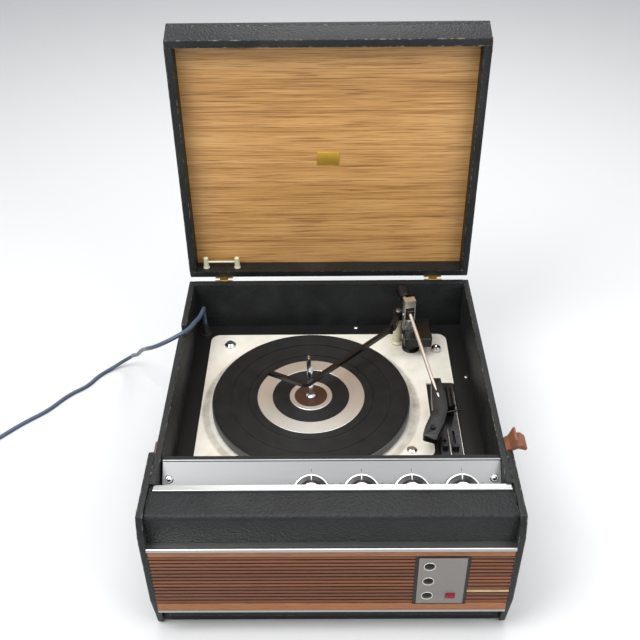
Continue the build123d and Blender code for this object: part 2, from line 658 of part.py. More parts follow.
def make_deck():
    """The motor board, the cream unit plate and what stands on it."""
    board = slab((-INNER_X, INNER_X), (PANEL_BACK_Y + CROSS_BOARD_T, INNER_BACK_Y), (DECK_Z - MOTOR_BOARD_T, DECK_Z))
    cut_out = fillet(
        slab((-158, 128), (-80, 168), (DECK_Z - 20, DECK_Z + 5)).edges().filter_by(Axis.Z), 22.0
    )
    grommet_x, grommet_y = CORD_ROUTE[0][0], CORD_ROUTE[0][1]
    board -= cut_out
    board -= post(grommet_x, grommet_y, (DECK_Z - 20, DECK_Z + 5), CORD_R + 2.5)
    save("motor_board", board)

    plate = drawn_z(
        [
            (PLATE_LEFT, PLATE_FRONT_Y),
            (PLATE_STEP_X, PLATE_FRONT_Y),
            (PLATE_STEP_X, PLATE_CORNER_Y),
            (PLATE_CORNER_X, PLATE_CORNER_Y),
            (PLATE_CORNER_X, ESCUTCHEON_BACK_Y + 0.5),
            (PLATE_RIGHT, ESCUTCHEON_BACK_Y + 0.5),
            (PLATE_RIGHT, PLATE_BACK_Y),
            (PLATE_LEFT, PLATE_BACK_Y),
        ],
        (DECK_Z, PLATE_TOP),
    )
    corners = plate.edges().filter_by(Axis.Z)
    big = [edge for edge in corners if edge.center().Y > 180 or abs(edge.center().X - PLATE_CORNER_X) < 1]
    big = [edge for edge in big if edge.center().Y > 180 or edge.center().Y < 0]
    plate = fillet(big, 14.0)
    plate -= turned(
        [(138, PLATE_TOP), (144, PLATE_TOP - 1.0), (150, PLATE_TOP)], PLATTER_X, PLATTER_Y
    )
    plate -= post(PULLEY_X, PULLEY_Y, (DECK_Z - 5, PLATE_TOP + 5), PULLEY_R + 4)
    plate -= post(PLATTER_X, PLATTER_Y, (DECK_Z - 5, PLATE_TOP + 5), SPINDLE_R)
    plate += turned(
        [(SPINDLE_R, DECK_Z - 18), (BOSS_R, DECK_Z - 18), (BOSS_R, 136.95), (SPINDLE_R, 136.95)],
        PLATTER_X,
        PLATTER_Y,
    )
    stud = turned(
        [(0, PLATE_TOP), (6, PLATE_TOP), (6, 137.9), (3, 137.9), (3, 146.4), (0, 146.4)], IDLER_X, IDLER_Y
    )
    save("unit_plate", plate, stud)

    escutcheon = slab(
        (ESCUTCHEON_LEFT, ESCUTCHEON_RIGHT),
        (ESCUTCHEON_FRONT_Y, ESCUTCHEON_BACK_Y),
        (DECK_Z, DECK_Z + ESCUTCHEON_T),
    )
    escutcheon = fillet(escutcheon.edges().filter_by(Axis.Z), 3.0)
    escutcheon = chamfer(escutcheon.faces().sort_by(Axis.Z)[-1].edges(), 0.8)
    levers = {
        "speed_lever": (SPEED_LEVER, SPEED_TRAVEL, 9.0),
        "start_lever": (START_LEVER, START_TRAVEL, 7.0),
    }
    for name, (place, travel, width) in levers.items():
        x, y = place
        slot_x = (x - LEVER_SLOT_W / 2, x + LEVER_SLOT_W / 2)
        escutcheon -= slab(slot_x, (y - 3.3, y + travel + 3.3), (DECK_Z - 1, DECK_Z + 10))
        top = DECK_Z + ESCUTCHEON_T
        stem = slab(
            (slot_x[0] + 0.15, slot_x[1] - 0.15), (y - 3.0, y + 3.0), (DECK_Z + 0.3, top + 1)
        )
        grip = slab((x - width / 2, x + width / 2), (y - 3.0, y + 3.0), (top + 0.3, top + 6.3))
        grip = fillet(grip.faces().sort_by(Axis.Z)[-1].edges(), 1.2)
        save(name, stem + grip)
    rest_x = (155.0, 167.5)
    rest_y = (4.0, 40.0)
    rest_z = (DECK_Z + ESCUTCHEON_T, 158.0)
    rest = slab(rest_x, rest_y, rest_z)
    rest = fillet(rest.edges().filter_by(Axis.Z), 2.5)
    groove = rod((161.2, rest_y[0] - 1, 160.0), (161.2, rest_y[1] + 1, 160.0), 4.6)
    save("escutcheon", escutcheon, rest - groove)

    mountings = [
        domed_screw(-147, 160, PLATE_TOP, 8.0, 6.0),
        domed_screw(106, -57, PLATE_TOP, 6.5, 4.0),
        turned([(0, 0), (7.5, 0), (6.8, 5.5), (3, 6.5), (0, 5.0)], 157, 146.5).moved(
            Location((0, 0, PLATE_TOP))
        ),
        domed_screw(195.0, 88, DECK_Z, 3.6, 3.0),
        domed_screw(41, 203, DECK_Z, 3.6, 3.0),
    ]
    save("deck_mountings", *mountings)

    shaft_gap = 0.05
    motor_top = 116.0
    block = slab((-30, 30), (-24, 24), (motor_top - 24, motor_top))
    block = fillet(block.edges().filter_by(Axis.Z), 4.0)
    block = Pos(PULLEY_X, PULLEY_Y, 0) * block
    block -= post(PULLEY_X, PULLEY_Y, (motor_top - 30, motor_top + 5), 1.6 + shaft_gap)
    coil = Pos(PULLEY_X, PULLEY_Y + 24, motor_top - 12) * Box(
        26, 22, 20, align=(Align.CENTER, Align.MIN, Align.CENTER)
    )
    legs = [
        post(PULLEY_X + dx, PULLEY_Y + dy, (motor_top, DECK_Z), 3.0)
        for dx, dy in ((-24, -18), (24, -18), (0, 20))
    ]
    save("motor", block, fillet(coil.edges().filter_by(Axis.X), 4.0), *legs)

    pulley = turned(
        [
            (0, motor_top - 22),
            (1.6, motor_top - 22),
            (1.6, 136),
            (PULLEY_R + 1.6, 136),
            (PULLEY_R + 1.6, 140),
            (PULLEY_R, 140),
            (PULLEY_R, 146),
            (0, 146),
        ],
        PULLEY_X,
        PULLEY_Y,
    )
    save("motor_pulley", pulley)


# Turntable

def make_turntable():
    """The platter with its mat and rings, the centre spindle and the idler that drives the rim."""
    bore = SPINDLE_R + SHAFT_GAP
    skirt_bottom = MAT_BOTTOM - PLATTER_SKIRT
    platter = turned(
        [
            (bore, 137.0),
            (10, 137.0),
            (10, PLATTER_UNDER),
            (PLATTER_INNER_R, PLATTER_UNDER),
            (PLATTER_INNER_R, skirt_bottom),
            (PLATTER_R, skirt_bottom),
            (PLATTER_R, MAT_BOTTOM - 1),
            (PLATTER_R - 1, MAT_BOTTOM),
            (bore, MAT_BOTTOM),
        ],
        PLATTER_X,
        PLATTER_Y,
    )
    save("platter", platter)

    groove = 0.8
    outline = [(bore, MAT_BOTTOM), (MAT_R, MAT_BOTTOM), (MAT_R, MAT_TOP - 1), (MAT_R - 1, MAT_TOP)]
    for radius in (108.0, 84.0):
        outline += [
            (radius + 1.2, MAT_TOP),
            (radius + 1.2, MAT_TOP - groove),
            (radius, MAT_TOP - groove),
            (radius, MAT_TOP),
        ]
    outline.append((bore, MAT_TOP))
    save("platter_mat", turned(outline, PLATTER_X, PLATTER_Y))

    rings = []
    for inner, outer in (WIDE_RING, NARROW_RING):
        outline = [
            (inner, MAT_TOP),
            (outer, MAT_TOP),
            (outer - 0.4, MAT_TOP + RING_T),
            (inner + 0.4, MAT_TOP + RING_T),
        ]
        rings.append(turned(outline, PLATTER_X, PLATTER_Y))
    save("mat_rings", *rings)
    disc_r = NARROW_RING[0]
    disc = turned(
        [(bore, MAT_TOP), (disc_r, MAT_TOP), (disc_r, MAT_TOP + RING_T), (bore, MAT_TOP + RING_T)],
        PLATTER_X,
        PLATTER_Y,
    )
    save("centre_disc", disc)

    lower = post(0, 0, (DECK_Z - 18, SPINDLE_STEP_Z), SPINDLE_R)
    collar = turned(
        [(0, MAT_TOP + 0.7), (6.5, MAT_TOP + 0.7), (6.5, MAT_TOP + 1.6), (4.2, MAT_TOP + 3.2), (0, MAT_TOP + 3.2)]
    )
    upper = turned(
        [
            (0, SPINDLE_STEP_Z - 14),
            (3.0, SPINDLE_STEP_Z - 10),
            (3.0, SPINDLE_TIP_Z - 4),
            (1.6, SPINDLE_TIP_Z),
            (0, SPINDLE_TIP_Z),
        ]
    )
    upper = Pos(-SPINDLE_OFFSET, 0, 0) * upper
    finger = slab((0.2, 3.1), (-1.0, 1.0), (SPINDLE_STEP_Z - 1, SPINDLE_STEP_Z + 8))
    spindle = lower + collar + upper + finger
    save("spindle", Pos(PLATTER_X, PLATTER_Y, 0) * spindle)

    hub_bore = 3.0 + SHAFT_GAP
    hub = turned(
        [
            (hub_bore, 138.0),
            (6, 138.0),
            (6, IDLER_Z + 1),
            (IDLER_HUB_R, IDLER_Z + 1),
            (IDLER_HUB_R, IDLER_Z + IDLER_W - 1),
            (6, IDLER_Z + IDLER_W - 1),
            (6, 146.2),
            (hub_bore, 146.2),
        ],
        IDLER_X,
        IDLER_Y,
    )
    tyre = turned(
        [
            (IDLER_HUB_R, IDLER_Z),
            (IDLER_R, IDLER_Z),
            (IDLER_R, IDLER_Z + IDLER_W),
            (IDLER_HUB_R, IDLER_Z + IDLER_W),
        ],
        IDLER_X,
        IDLER_Y,
    )
    save("idler_wheel", hub, tyre)


# Pickup arm

def along_arm():
    """The arm's own place: X across the arm, Y to its back end, Z up, over its upright pivot."""
    reach = Vector(ARM_TIP[0] - ARM_X, ARM_TIP[1] - ARM_Y, 0).normalized()
    return Plane(origin=(ARM_X, ARM_Y, 0), x_dir=(-reach.Y, reach.X, 0), z_dir=(0, 0, 1)).location


def make_arm():
    """The arm's pillar and housing, its saddle, tube, weight, head and cartridge."""
    place = along_arm()
    length = sqrt((ARM_TIP[0] - ARM_X) ** 2 + (ARM_TIP[1] - ARM_Y) ** 2)
    rise = (ARM_ROOT_Z - ARM_TIP[2]) / length

    housing = slab((HOUSING_LEFT, HOUSING_RIGHT), (HOUSING_FRONT_Y, HOUSING_BACK_Y), (HOUSING_Z, HOUSING_TOP))
    housing = fillet(housing.edges().filter_by(Axis.Z), 4.0)
    housing = chamfer(housing.faces().sort_by(Axis.Z)[-1].edges(), 1.5)
    column = turned(
        [
            (0, PLATE_TOP),
            (13, PLATE_TOP),
            (13, PLATE_TOP + 2),
            (10, PLATE_TOP + 4),
            (10, HOUSING_Z),
            (0, HOUSING_Z),
        ],
        ARM_X + 6,
        ARM_Y,
    )
    pin = post(ARM_X, ARM_Y, (HOUSING_TOP, 186), ARM_POST_R)
    save("arm_pillar", housing + column + pin)

    inner = SADDLE_HALF_W - SADDLE_T
    saddle = slab((-SADDLE_HALF_W, SADDLE_HALF_W), (-5.5, 5.0), (176, SADDLE_TOP))
    saddle -= slab((-inner, inner), (-4.0, 6.0), (170, SADDLE_TOP - SADDLE_T))
    saddle -= slab((-inner, inner), (-7.0, -3.0), (170, 212))
    saddle -= slab((0, 20), (-7.0, 7.0), (170, 190))
    saddle += slab((-SADDLE_HALF_W, SADDLE_HALF_W), (-4.5, 4.5), (188.5, 190.5))
    saddle += slab((-SADDLE_HALF_W, 6.5), (-4.5, 4.5), (ARM_BEARING_Z, 177.5))
    saddle += post(0, 0, (ARM_BEARING_Z, 188.5), 5.5)
    saddle -= post(0, 0, (170, 186.2), ARM_POST_R + SHAFT_GAP)
    saddle += rod((-SADDLE_HALF_W - 1, 0, ARM_PIVOT_Z), (SADDLE_HALF_W + 1, 0, ARM_PIVOT_Z), ARM_PIN_R)
    saddle = saddle.solid() if len(saddle.solids()) == 1 else saddle
    save("arm_saddle", place * saddle)

    back = 24.0 + WEIGHT_FAR - 26.0
    tube = rod((0, back, ARM_ROOT_Z + back * rise), (0, -length, ARM_TIP[2]), ARM_TUBE_R)
    save("arm_tube", place * tube)

    block = slab((-5, 5), (-8, 8), (194, 208))
    block = fillet(block.edges().filter_by(Axis.X), 2.0)
    block -= rod((-10, 0, ARM_PIVOT_Z), (10, 0, ARM_PIVOT_Z), ARM_PIN_R + SHAFT_GAP)
    weight = rod(
        (0, WEIGHT_NEAR, ARM_ROOT_Z + WEIGHT_NEAR * rise), (0, WEIGHT_FAR, ARM_ROOT_Z + WEIGHT_FAR * rise), WEIGHT_R
    )
    weight = chamfer(weight.edges().filter_by(GeomType.CIRCLE), 1.2)
    save("counterweight", place * (block - tube), place * (weight - tube))

    plan = drawn_z(
        [
            (136.5, 32.0),
            (148.8, 32.0),
            (152.2, 2.5),
            (153.8, -18.6),
            (146.4, -44.6),
            (133.9, -71.0),
            (117.3, -64.5),
            (121.8, -49.9),
            (129.6, -31.6),
            (134.6, -20.4),
            (134.6, 2.7),
        ],
        (HEAD_BOTTOM - 5, 185),
    )
    plan = fillet(plan.edges().filter_by(Axis.Z).sort_by(Axis.Y)[:2], 3.0)
    side = drawn_x(
        [
            (-72, HEAD_BOTTOM),
            (-72, 166.0),
            (-64, 170.5),
            (-20, 173.5),
            (33, 181.0),
            (33, 172.0),
            (8, 163.0),
            (-6, HEAD_BOTTOM),
        ],
        (100, 180),
    )
    head = plan & side
    pocket = drawn_z(
        [(119.8, -63.0), (124.0, -50.5), (131.5, -33.5), (145.0, -38.5), (143.8, -45.0), (132.8, -68.2)],
        (HEAD_BOTTOM - 5, 168.0),
    )
    head -= pocket
    head -= place * tube
    lift = rod((151.0, -19.0, 166.0), (171.5, -14.6, 166.0), 1.2)
    rivet = post(131.5, -52.0, (168.0, 173.5), 3.0)
    head = head - lift - rivet
    save("headshell", head, lift, rivet)

    body = drawn_z(
        [(126.0, -52.0), (129.0, -38.5), (138.5, -42.0), (134.5, -56.0)], (HEAD_BOTTOM - 3, 168.0)
    )
    stylus = turned([(0, STYLUS_Z), (0.4, STYLUS_Z), (1.2, HEAD_BOTTOM - 3), (0, HEAD_BOTTOM - 3)], 130.5, -47.0)
    save("cartridge", body + stylus)


def make_overarm():
    """The record overarm: fixed sleeve, sliding stem and the bent bar that swings on it."""
    place = Pos(OVERARM_X, OVERARM_Y, 0)
    sleeve = turned(
        [
            (ARM_POST_R + SHAFT_GAP, PLATE_TOP),
            (9.0, PLATE_TOP),
            (9.0, PLATE_TOP + 3),
            (SLEEVE_R, PLATE_TOP + 5),
            (SLEEVE_R, SLEEVE_TOP),
            (ARM_POST_R + SHAFT_GAP, SLEEVE_TOP),
        ]
    )
    save("overarm_sleeve", place * sleeve)
    head_top = OVERARM_Z + OVERARM_HEAD_H
    stem = turned(
        [
            (0, PLATE_TOP + 0.5),
            (ARM_POST_R, PLATE_TOP + 0.5),
            (ARM_POST_R, SLEEVE_TOP + 0.1),
            (5.0, SLEEVE_TOP + 0.1),
            (5.0, OVERARM_Z - 0.1),
            (ARM_POST_R, OVERARM_Z - 0.1),
            (ARM_POST_R, head_top + 0.1),
            (4.6, head_top + 0.1),
            (3.4, head_top + 2.0),
            (0, head_top + 2.2),
        ]
    )
    save("overarm_stem", place * stem)

    bar_z = (OVERARM_Z, OVERARM_Z + OVERARM_H)
    root = (OVERARM_X, OVERARM_Y)
    boss = post(OVERARM_X, OVERARM_Y, (OVERARM_Z, head_top), OVERARM_BOSS_R)
    neck = bar(root, OVERARM_ROUTE[0], 8.0, (OVERARM_Z, head_top - 2.0))
    arm = boss + neck
    for start, end in zip(OVERARM_ROUTE[:-1], OVERARM_ROUTE[1:]):
        arm += bar(start, end, OVERARM_W, bar_z)
    arm -= post(OVERARM_X, OVERARM_Y, (OVERARM_Z - 1, head_top + 1), ARM_POST_R + SHAFT_GAP)
    save("overarm", arm)


# Lid

def hinge_barrel(x, radius):
    """A hinge barrel between a pair of X limits, on the hinge's axis."""
    return rod((x[0], HINGE_Y, HINGE_Z), (x[1], HINGE_Y, HINGE_Z), radius)


def make_hinges():
    """Two butt hinges at the back: one leaf on the case, the other under the lid."""
    case_half = []
    lid_half = []
    gap = 0.3
    third = HINGE_W / 4
    for middle in HINGE_X:
        left, right = middle - HINGE_W / 2, middle + HINGE_W / 2
        outer = [(left, left + third), (right - third, right)]
        centre = (left + third + gap, right - third - gap)
        leaf_y = (HINGE_Y - HINGE_SETBACK, HINGE_Y - HINGE_SETBACK + HINGE_LEAF_T)
        fixed = slab((left, right), leaf_y, (HINGE_Z - 26, HINGE_Z - 5))
        for x in outer:
            fixed += slab(x, leaf_y, (HINGE_Z - 6, HINGE_Z))
            fixed += hinge_barrel(x, HINGE_R)
        fixed += hinge_barrel((left, right), HINGE_PIN_R)
        leaf_z = (HINGE_Z + HINGE_SETBACK - HINGE_LEAF_T, HINGE_Z + HINGE_SETBACK)
        moving = slab((left, right), (HINGE_Y + 5, HINGE_Y + 26), leaf_z)
        moving += slab(centre, (HINGE_Y, HINGE_Y + 6), leaf_z)
        moving += hinge_barrel(centre, HINGE_R)
        moving -= hinge_barrel((left - 1, right + 1), HINGE_PIN_R + SHAFT_GAP)
        case_half.append(fixed)
        lid_half.append(moving)
    save("cabinet_hinges", *case_half)
    save("lid_hinges", *lid_half)


def make_lid():
    """The covered lid: four rails, the board, its wood-grained lining and the small fittings."""
    rail_y = (LID_RIM_Y, LID_BOARD_Y)
    lower = slab((-SIDE_X, SIDE_X), rail_y, (LID_BOTTOM_Z, LID_INNER_BOTTOM))
    side = slab((LID_INNER_X, SIDE_X), rail_y, (LID_INNER_BOTTOM, LID_INNER_TOP))
    slope = LID_SLOPE / LID_DEPTH
    board_edge = LID_RIM_TOP + slope * (LID_BOARD_Y - LID_RIM_Y)
    upper = drawn_x(
        [
            (LID_RIM_Y, LID_INNER_TOP),
            (LID_RIM_Y, LID_RIM_TOP),
            (LID_BOARD_Y, board_edge),
            (LID_BOARD_Y, LID_INNER_TOP),
        ],
        (-SIDE_X, SIDE_X),
    )
    save("lid_frame", lower, *both_sides(side), upper)

    board = drawn_x(
        [
            (LID_BOARD_Y, LID_BOTTOM_Z),
            (LID_BOARD_Y, board_edge),
            (LID_BACK_Y, LID_RIM_TOP + LID_SLOPE),
            (LID_BACK_Y, LID_BOTTOM_Z),
        ],
        (-SIDE_X, SIDE_X),
    )
    board = fillet(board.faces().sort_by(Axis.Y)[-1].edges(), 3.0)
    save("lid_panel", board)

    lining = slab(
        (-LID_INNER_X, LID_INNER_X), (LID_BOARD_Y - LINING_T, LID_BOARD_Y), (LID_INNER_BOTTOM, LID_INNER_TOP)
    )
    save("lid_lining", lining)

    peg = turned([(0, 0), (5.0, 0), (4.0, 3), (3.6, 16.5), (0, 18.5)])
    clip_y = LID_RIM_Y + 13.0
    pegs = [Pos(x, clip_y, LID_INNER_BOTTOM) * peg for x in (-184.0, -137.5)]
    clip_z = LID_INNER_BOTTOM + 9.5
    spring = rod((-180.5, clip_y, clip_z), (-141.0, clip_y, clip_z), 1.6)
    save("spindle_clip", *[peg - spring for peg in pegs], spring - pegs[0] - pegs[1])

    dome = turned([(0, 0), (3.6, 0), (2.6, 1.8), (0, 2.4)])
    left_face = Plane(origin=(-SIDE_X, 0, 0), x_dir=(0, 1, 0), z_dir=(-1, 0, 0)).location
    right_face = Plane(origin=(SIDE_X, 0, 0), x_dir=(0, 1, 0), z_dir=(1, 0, 0)).location
    fittings = [
        left_face * Pos(245.0, -553.0, 0) * dome,
        left_face * Pos(245.0, -541.0, 0) * dome,
        left_face * Pos(249.5, -246.6, 0) * dome,
    ]
    tab = slab((SIDE_X, SIDE_X + 2.0), (238.0, 256.0), (531.0, 568.0))
    tab = fillet(tab.edges().filter_by(Axis.X), 5.0)
    rivet = Pos(0, 0, 2.0) * dome
    fittings.extend([tab, right_face * Pos(247.0, 549.0, 0) * rivet])
    save("lid_fittings", *fittings)


def make_side_fittings():
    """What is left of the carrying strap on both sides, and a brass stud on the left cheek."""
    strap_y = (FACE_Y + CHEEK_BACK + 0.5, FACE_Y + CHEEK_BACK + 22.5)
    right = drawn_strap(
        [
            (SIDE_X, 176.0),
            (SIDE_X, RIM_Z - 1.0),
            (SIDE_X + 5.0, RIM_Z + 3.0),
            (SIDE_X + 9.5, RIM_Z + 16.0),
            (SIDE_X + 12.0, RIM_Z + 16.5),
            (SIDE_X + 11.5, RIM_Z + 7.0),
            (SIDE_X + 19.0, RIM_Z + 7.5),
            (SIDE_X + 25.0, RIM_Z + 2.0),
            (SIDE_X + 23.5, RIM_Z - 1.5),
            (SIDE_X + 14.0, RIM_Z + 1.5),
            (SIDE_X + 6.0, RIM_Z - 3.0),
            (SIDE_X + 2.6, RIM_Z - 8.0),
            (SIDE_X + 2.6, 176.0),
        ],
        strap_y,
    )
    left = slab((-SIDE_X - 2.6, -SIDE_X), strap_y, (170.0, RIM_Z - 3.0))
    left = fillet(left.edges().filter_by(Axis.X), 4.0)
    stud = turned([(0, 0), (4.4, 0), (3.2, 2.2), (0, 3.0)])
    face = Plane(origin=(-SIDE_X - CHEEK_T, 0, 0), x_dir=(0, 1, 0), z_dir=(-1, 0, 0)).location
    save("side_fittings", right, left, face * Pos(-213.0, -200.0, 0) * stud)


def drawn_strap(outline, y):
    """An outline of (x, z) points, drawn out towards the back."""
    face = make_face(Polyline(*[(x, y[0], z) for x, z in outline], close=True))
    return extrude(face, amount=y[1] - y[0], dir=(0, 1, 0))


# Mains lead

COIL_TURNS = COIL_LOWER_TURNS + COIL_CLIMB + COIL_UPPER_TURNS
COIL_OUTER_R = COIL_INNER_R + CORD_GAP * (COIL_LOWER_TURNS + COIL_CLIMB / 2)


def arc_radii(points):
    """The radius of each bend of a route: 0.45 of its shorter run over the tangent of half the turn."""
    radii = []
    for before, here, after in zip(points[:-2], points[1:-1], points[2:]):
        run_in = Vector(*here) - Vector(*before)
        run_out = Vector(*after) - Vector(*here)
        half_turn = radians(run_in.get_angle(run_out)) / 2
        radii.append(0.45 * min(run_in.length, run_out.length) / tan(half_turn))
    return radii


def biarc(start, heading, end, end_heading):
    """Two arcs that join a start and an end smoothly, each with its heading."""
    chord = end - start
    both = heading + end_heading
    spread = 2 * (1 - heading.dot(end_heading))
    if spread < 1e-9:
        reach = chord.dot(chord) / (4 * chord.dot(heading))
    else:
        reach = (-chord.dot(both) + sqrt(chord.dot(both) ** 2 + spread * chord.dot(chord))) / spread
    first = start + heading * reach
    second = end - end_heading * reach
    middle = (first + second) * 0.5
    return [
        TangentArc(start, middle, tangent=heading),
        TangentArc(middle, end, tangent=second - first),
    ]


def coil_point(turn, centre, start_angle):
    """A point of the coil's middle line: in on the lower layer, up in half a turn, out on the upper."""
    left = COIL_LOWER_TURNS + COIL_CLIMB / 2 - turn
    radius = COIL_INNER_R + CORD_GAP * abs(left)
    climb = min(1.0, max(0.0, (COIL_CLIMB / 2 - left) / COIL_CLIMB))
    z = CORD_R + CORD_GAP * (climb - sin(2 * pi * climb) / (2 * pi))
    angle = start_angle - 2 * pi * turn
    return Vector(centre.X + radius * cos(angle), centre.Y + radius * sin(angle), z)


def least_gap(points, spacing):
    """The least gap of a tube to itself, between points further apart along it than two diameters."""
    skip = int(4 * CORD_R / spacing) + 1
    nearest = min(
        (points[i] - points[j]).length for i in range(len(points)) for j in range(i + skip, len(points))
    )
    return nearest - 2 * CORD_R


def make_lead():
    """The mains lead: grommet, the free stretch over the rim, the coil and the plug."""
    start = CORD_ROUTE[0]
    sleeve = turned(
        [
            (0, -8.0),
            (CORD_R + 2.4, -8.0),
            (CORD_R + 2.4, 0),
            (CORD_R + 4.5, 0),
            (CORD_R + 4.5, 2.5),
            (CORD_R + 2.2, 2.5),
            (CORD_R + 0.8, GROMMET_H),
            (0, GROMMET_H),
        ]
    )
    save("cord_grommet", Pos(start[0], start[1], DECK_Z) * sleeve)

    radii = arc_radii(CORD_ROUTE)
    path = FilletPolyline(*CORD_ROUTE, radius=radii)
    heading = Vector(*CORD_ROUTE[1]) - Vector(*start)
    section = Plane(origin=start, z_dir=heading) * Circle(CORD_R)
    lead = sweep(section, path=path)
    print("lead radii", [round(radius, 1) for radius in radii])
    print("lead length", round(path.length, 1), "volume error", round(lead.volume / (pi * CORD_R**2 * path.length) - 1, 5))

    end = Vector(*CORD_ROUTE[-1])
    along = (end - Vector(*CORD_ROUTE[-2])).normalized()
    begin = end + along * (2 * CORD_R)
    right = Vector(along.Y, -along.X, 0)
    centre = begin + right * COIL_OUTER_R
    start_angle = radians(180) + radians(Vector(1, 0, 0).get_signed_angle(right, Vector(0, 0, 1)))
    quarters = int(round(COIL_TURNS * 4))
    marks = [coil_point(COIL_TURNS * k / quarters, centre, start_angle) for k in range(quarters + 1)]
    step = 1e-4
    headings = [along]
    for k in range(1, quarters + 1):
        turn = COIL_TURNS * k / quarters
        before = coil_point(turn - step, centre, start_angle)
        after = coil_point(turn + step, centre, start_angle)
        headings.append((after - before).normalized())
    edges = [Line(end, begin)]
    for k in range(quarters):
        edges += biarc(marks[k], headings[k], marks[k + 1], headings[k + 1])
    outward = headings[-1]
    aside = Vector(outward.Y, -outward.X, 0)
    tail_end = marks[-1] + outward * 46 - aside * 7
    tail_end = Vector(tail_end.X, tail_end.Y, CORD_R + 6.5)
    edges += biarc(marks[-1], outward, tail_end, outward)
    plug_at = tail_end + outward * (2 * CORD_R)
    edges.append(Line(tail_end, plug_at))
    coil_path = Wire(edges)
    coil = sweep(Plane(origin=end, z_dir=along) * Circle(CORD_R), path=coil_path)
    save("mains_lead", lead, coil)
    count = 700
    samples = [coil_path.position_at(k / count) for k in range(count + 1)]
    spacing = coil_path.length / count
    print("coil length", round(coil_path.length, 1), "least gap", round(least_gap(samples, spacing), 2))
    print("coil volume error", round(coil.volume / (pi * CORD_R**2 * coil_path.length) - 1, 5))

    lengthways = Plane(origin=(plug_at.X, plug_at.Y, 0), x_dir=outward, z_dir=(0, 0, 1)).location
    body = extrude(
        make_face(Polyline((0, -9, 0), (8, -22, 0), (46, -25, 0), (50, -19, 0), (50, 19, 0), (46, 25, 0), (8, 22, 0), (0, 9, 0), close=True)),
        amount=20,
        dir=(0, 0, 1),
    )
    body = fillet(body.edges().filter_by(Axis.Z), 3.0)
    body = fillet(body.faces().sort_by(Axis.Z)[0].edges(), 2.0)
    face_x = 27.0
    pins = [
        slab((face_x - 15.0, face_x - 11.0), (-4.0, 4.0), (20, 42.5)),
        slab((face_x + 8.0, face_x + 14.0), (-13.0, -9.0), (20, 37.5)),
        slab((face_x + 8.0, face_x + 14.0), (9.0, 13.0), (20, 37.5)),
    ]
    save("mains_plug", lengthways * body, *[lengthways * pin for pin in pins])


os.makedirs("parts", exist_ok=True)
make_case()
make_front()
make_loudspeaker()
make_controls()
make_deck()
make_turntable()
make_arm()
make_overarm()
make_hinges()
make_lid()
make_side_fittings()
make_lead()
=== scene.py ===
import json
import math

import bmesh
import bpy
from mathutils import Matrix, Vector

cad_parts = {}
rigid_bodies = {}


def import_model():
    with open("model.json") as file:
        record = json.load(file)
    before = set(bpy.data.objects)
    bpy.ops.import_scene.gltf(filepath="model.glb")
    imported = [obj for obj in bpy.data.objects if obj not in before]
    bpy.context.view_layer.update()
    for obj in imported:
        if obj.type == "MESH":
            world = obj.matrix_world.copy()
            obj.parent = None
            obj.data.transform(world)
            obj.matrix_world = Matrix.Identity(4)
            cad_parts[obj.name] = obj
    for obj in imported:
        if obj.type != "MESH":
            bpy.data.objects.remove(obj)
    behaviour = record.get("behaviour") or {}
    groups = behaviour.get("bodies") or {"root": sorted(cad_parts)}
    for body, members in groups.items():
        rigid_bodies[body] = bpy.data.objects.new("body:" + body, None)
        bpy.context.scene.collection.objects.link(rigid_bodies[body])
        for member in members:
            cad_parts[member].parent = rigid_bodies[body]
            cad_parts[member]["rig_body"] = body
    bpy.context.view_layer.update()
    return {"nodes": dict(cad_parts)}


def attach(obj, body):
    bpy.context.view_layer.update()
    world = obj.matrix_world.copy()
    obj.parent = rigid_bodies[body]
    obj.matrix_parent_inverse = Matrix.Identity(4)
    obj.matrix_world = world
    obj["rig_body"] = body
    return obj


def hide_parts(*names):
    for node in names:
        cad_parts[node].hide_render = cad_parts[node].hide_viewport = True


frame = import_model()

# A portable record player with its lid open. Sizes and places are in millimetres, counted from
# the floor under the middle of the case, as in part.py, and at() turns them into the frame's metres.

MM = 0.001
TO_ORIGIN = Vector((-7.5, -14.5, 0.0))


def at(x, y, z):
    """A place in the case's own millimetres, in the frame's metres."""
    return (Vector((x, y, z)) + TO_ORIGIN) * MM


# How near points are merged, the angle up to which faces count as flat, and from which an edge is sharp
WELD = 0.001
CAD_WELD = 0.002
FLAT_ANGLE = math.radians(0.5)
SHARP_ANGLE = math.radians(32.0)

# Grille
SIDE_X = 207.5
CLOTH_Y = -228.0
RIB_FRONT_Y = -237.5
LOWER_RAIL_Z = 49.0
RIBS_Z = 63.0
RIB_PITCH = 6.25
RIB_H = 3.7
RIB_ROUND = 1.6
RIB_COUNT = 14
PALE_RIB_ROW = 3
UPPER_RAIL_Z = (150.5, 161.5)
SOCKET_FRAME_X = (95.5, 158.5)
SOCKET_FRAME_Z = 61.0

# How far edges are eased
BOARD_EASE = 0.8
SOCKET_PLATE_EASE = 0.3
HEAD_EASE = 0.5
STRAP_EASE = 0.4
LID_FITTING_EASE = 0.3
LID_PLATE_EASE = 0.3
POINTER_EASE = 0.15
LEVER_STRIP_EASE = 0.1

# Segments round a turned piece
FINE_RING = 64
WIDE_RING = 96
FLUTED_RING = 192

# Metal fastenings on the head, the straps and the lid are smaller than these
HEAD_METAL_SIZE = 30.0
STRAP_METAL_SIZE = 14.0
LID_METAL_SIZE = 12.0

# Socket plate, with depths counted out from its face
SOCKET_X = 112.0
SOCKET_Z = (134.0, 107.0, 80.0)
SOCKET_R = 6.5
SOCKET_FACE_Y = -237.0
SHELL_PLAY = 0.05
SHELL_WALL = 0.5
SHELL_DEPTH = -14.0
SHELL_RIM = 2.35
CONTACT_R = 5.6
CONTACT_DEPTH = (-15.0, -11.2)

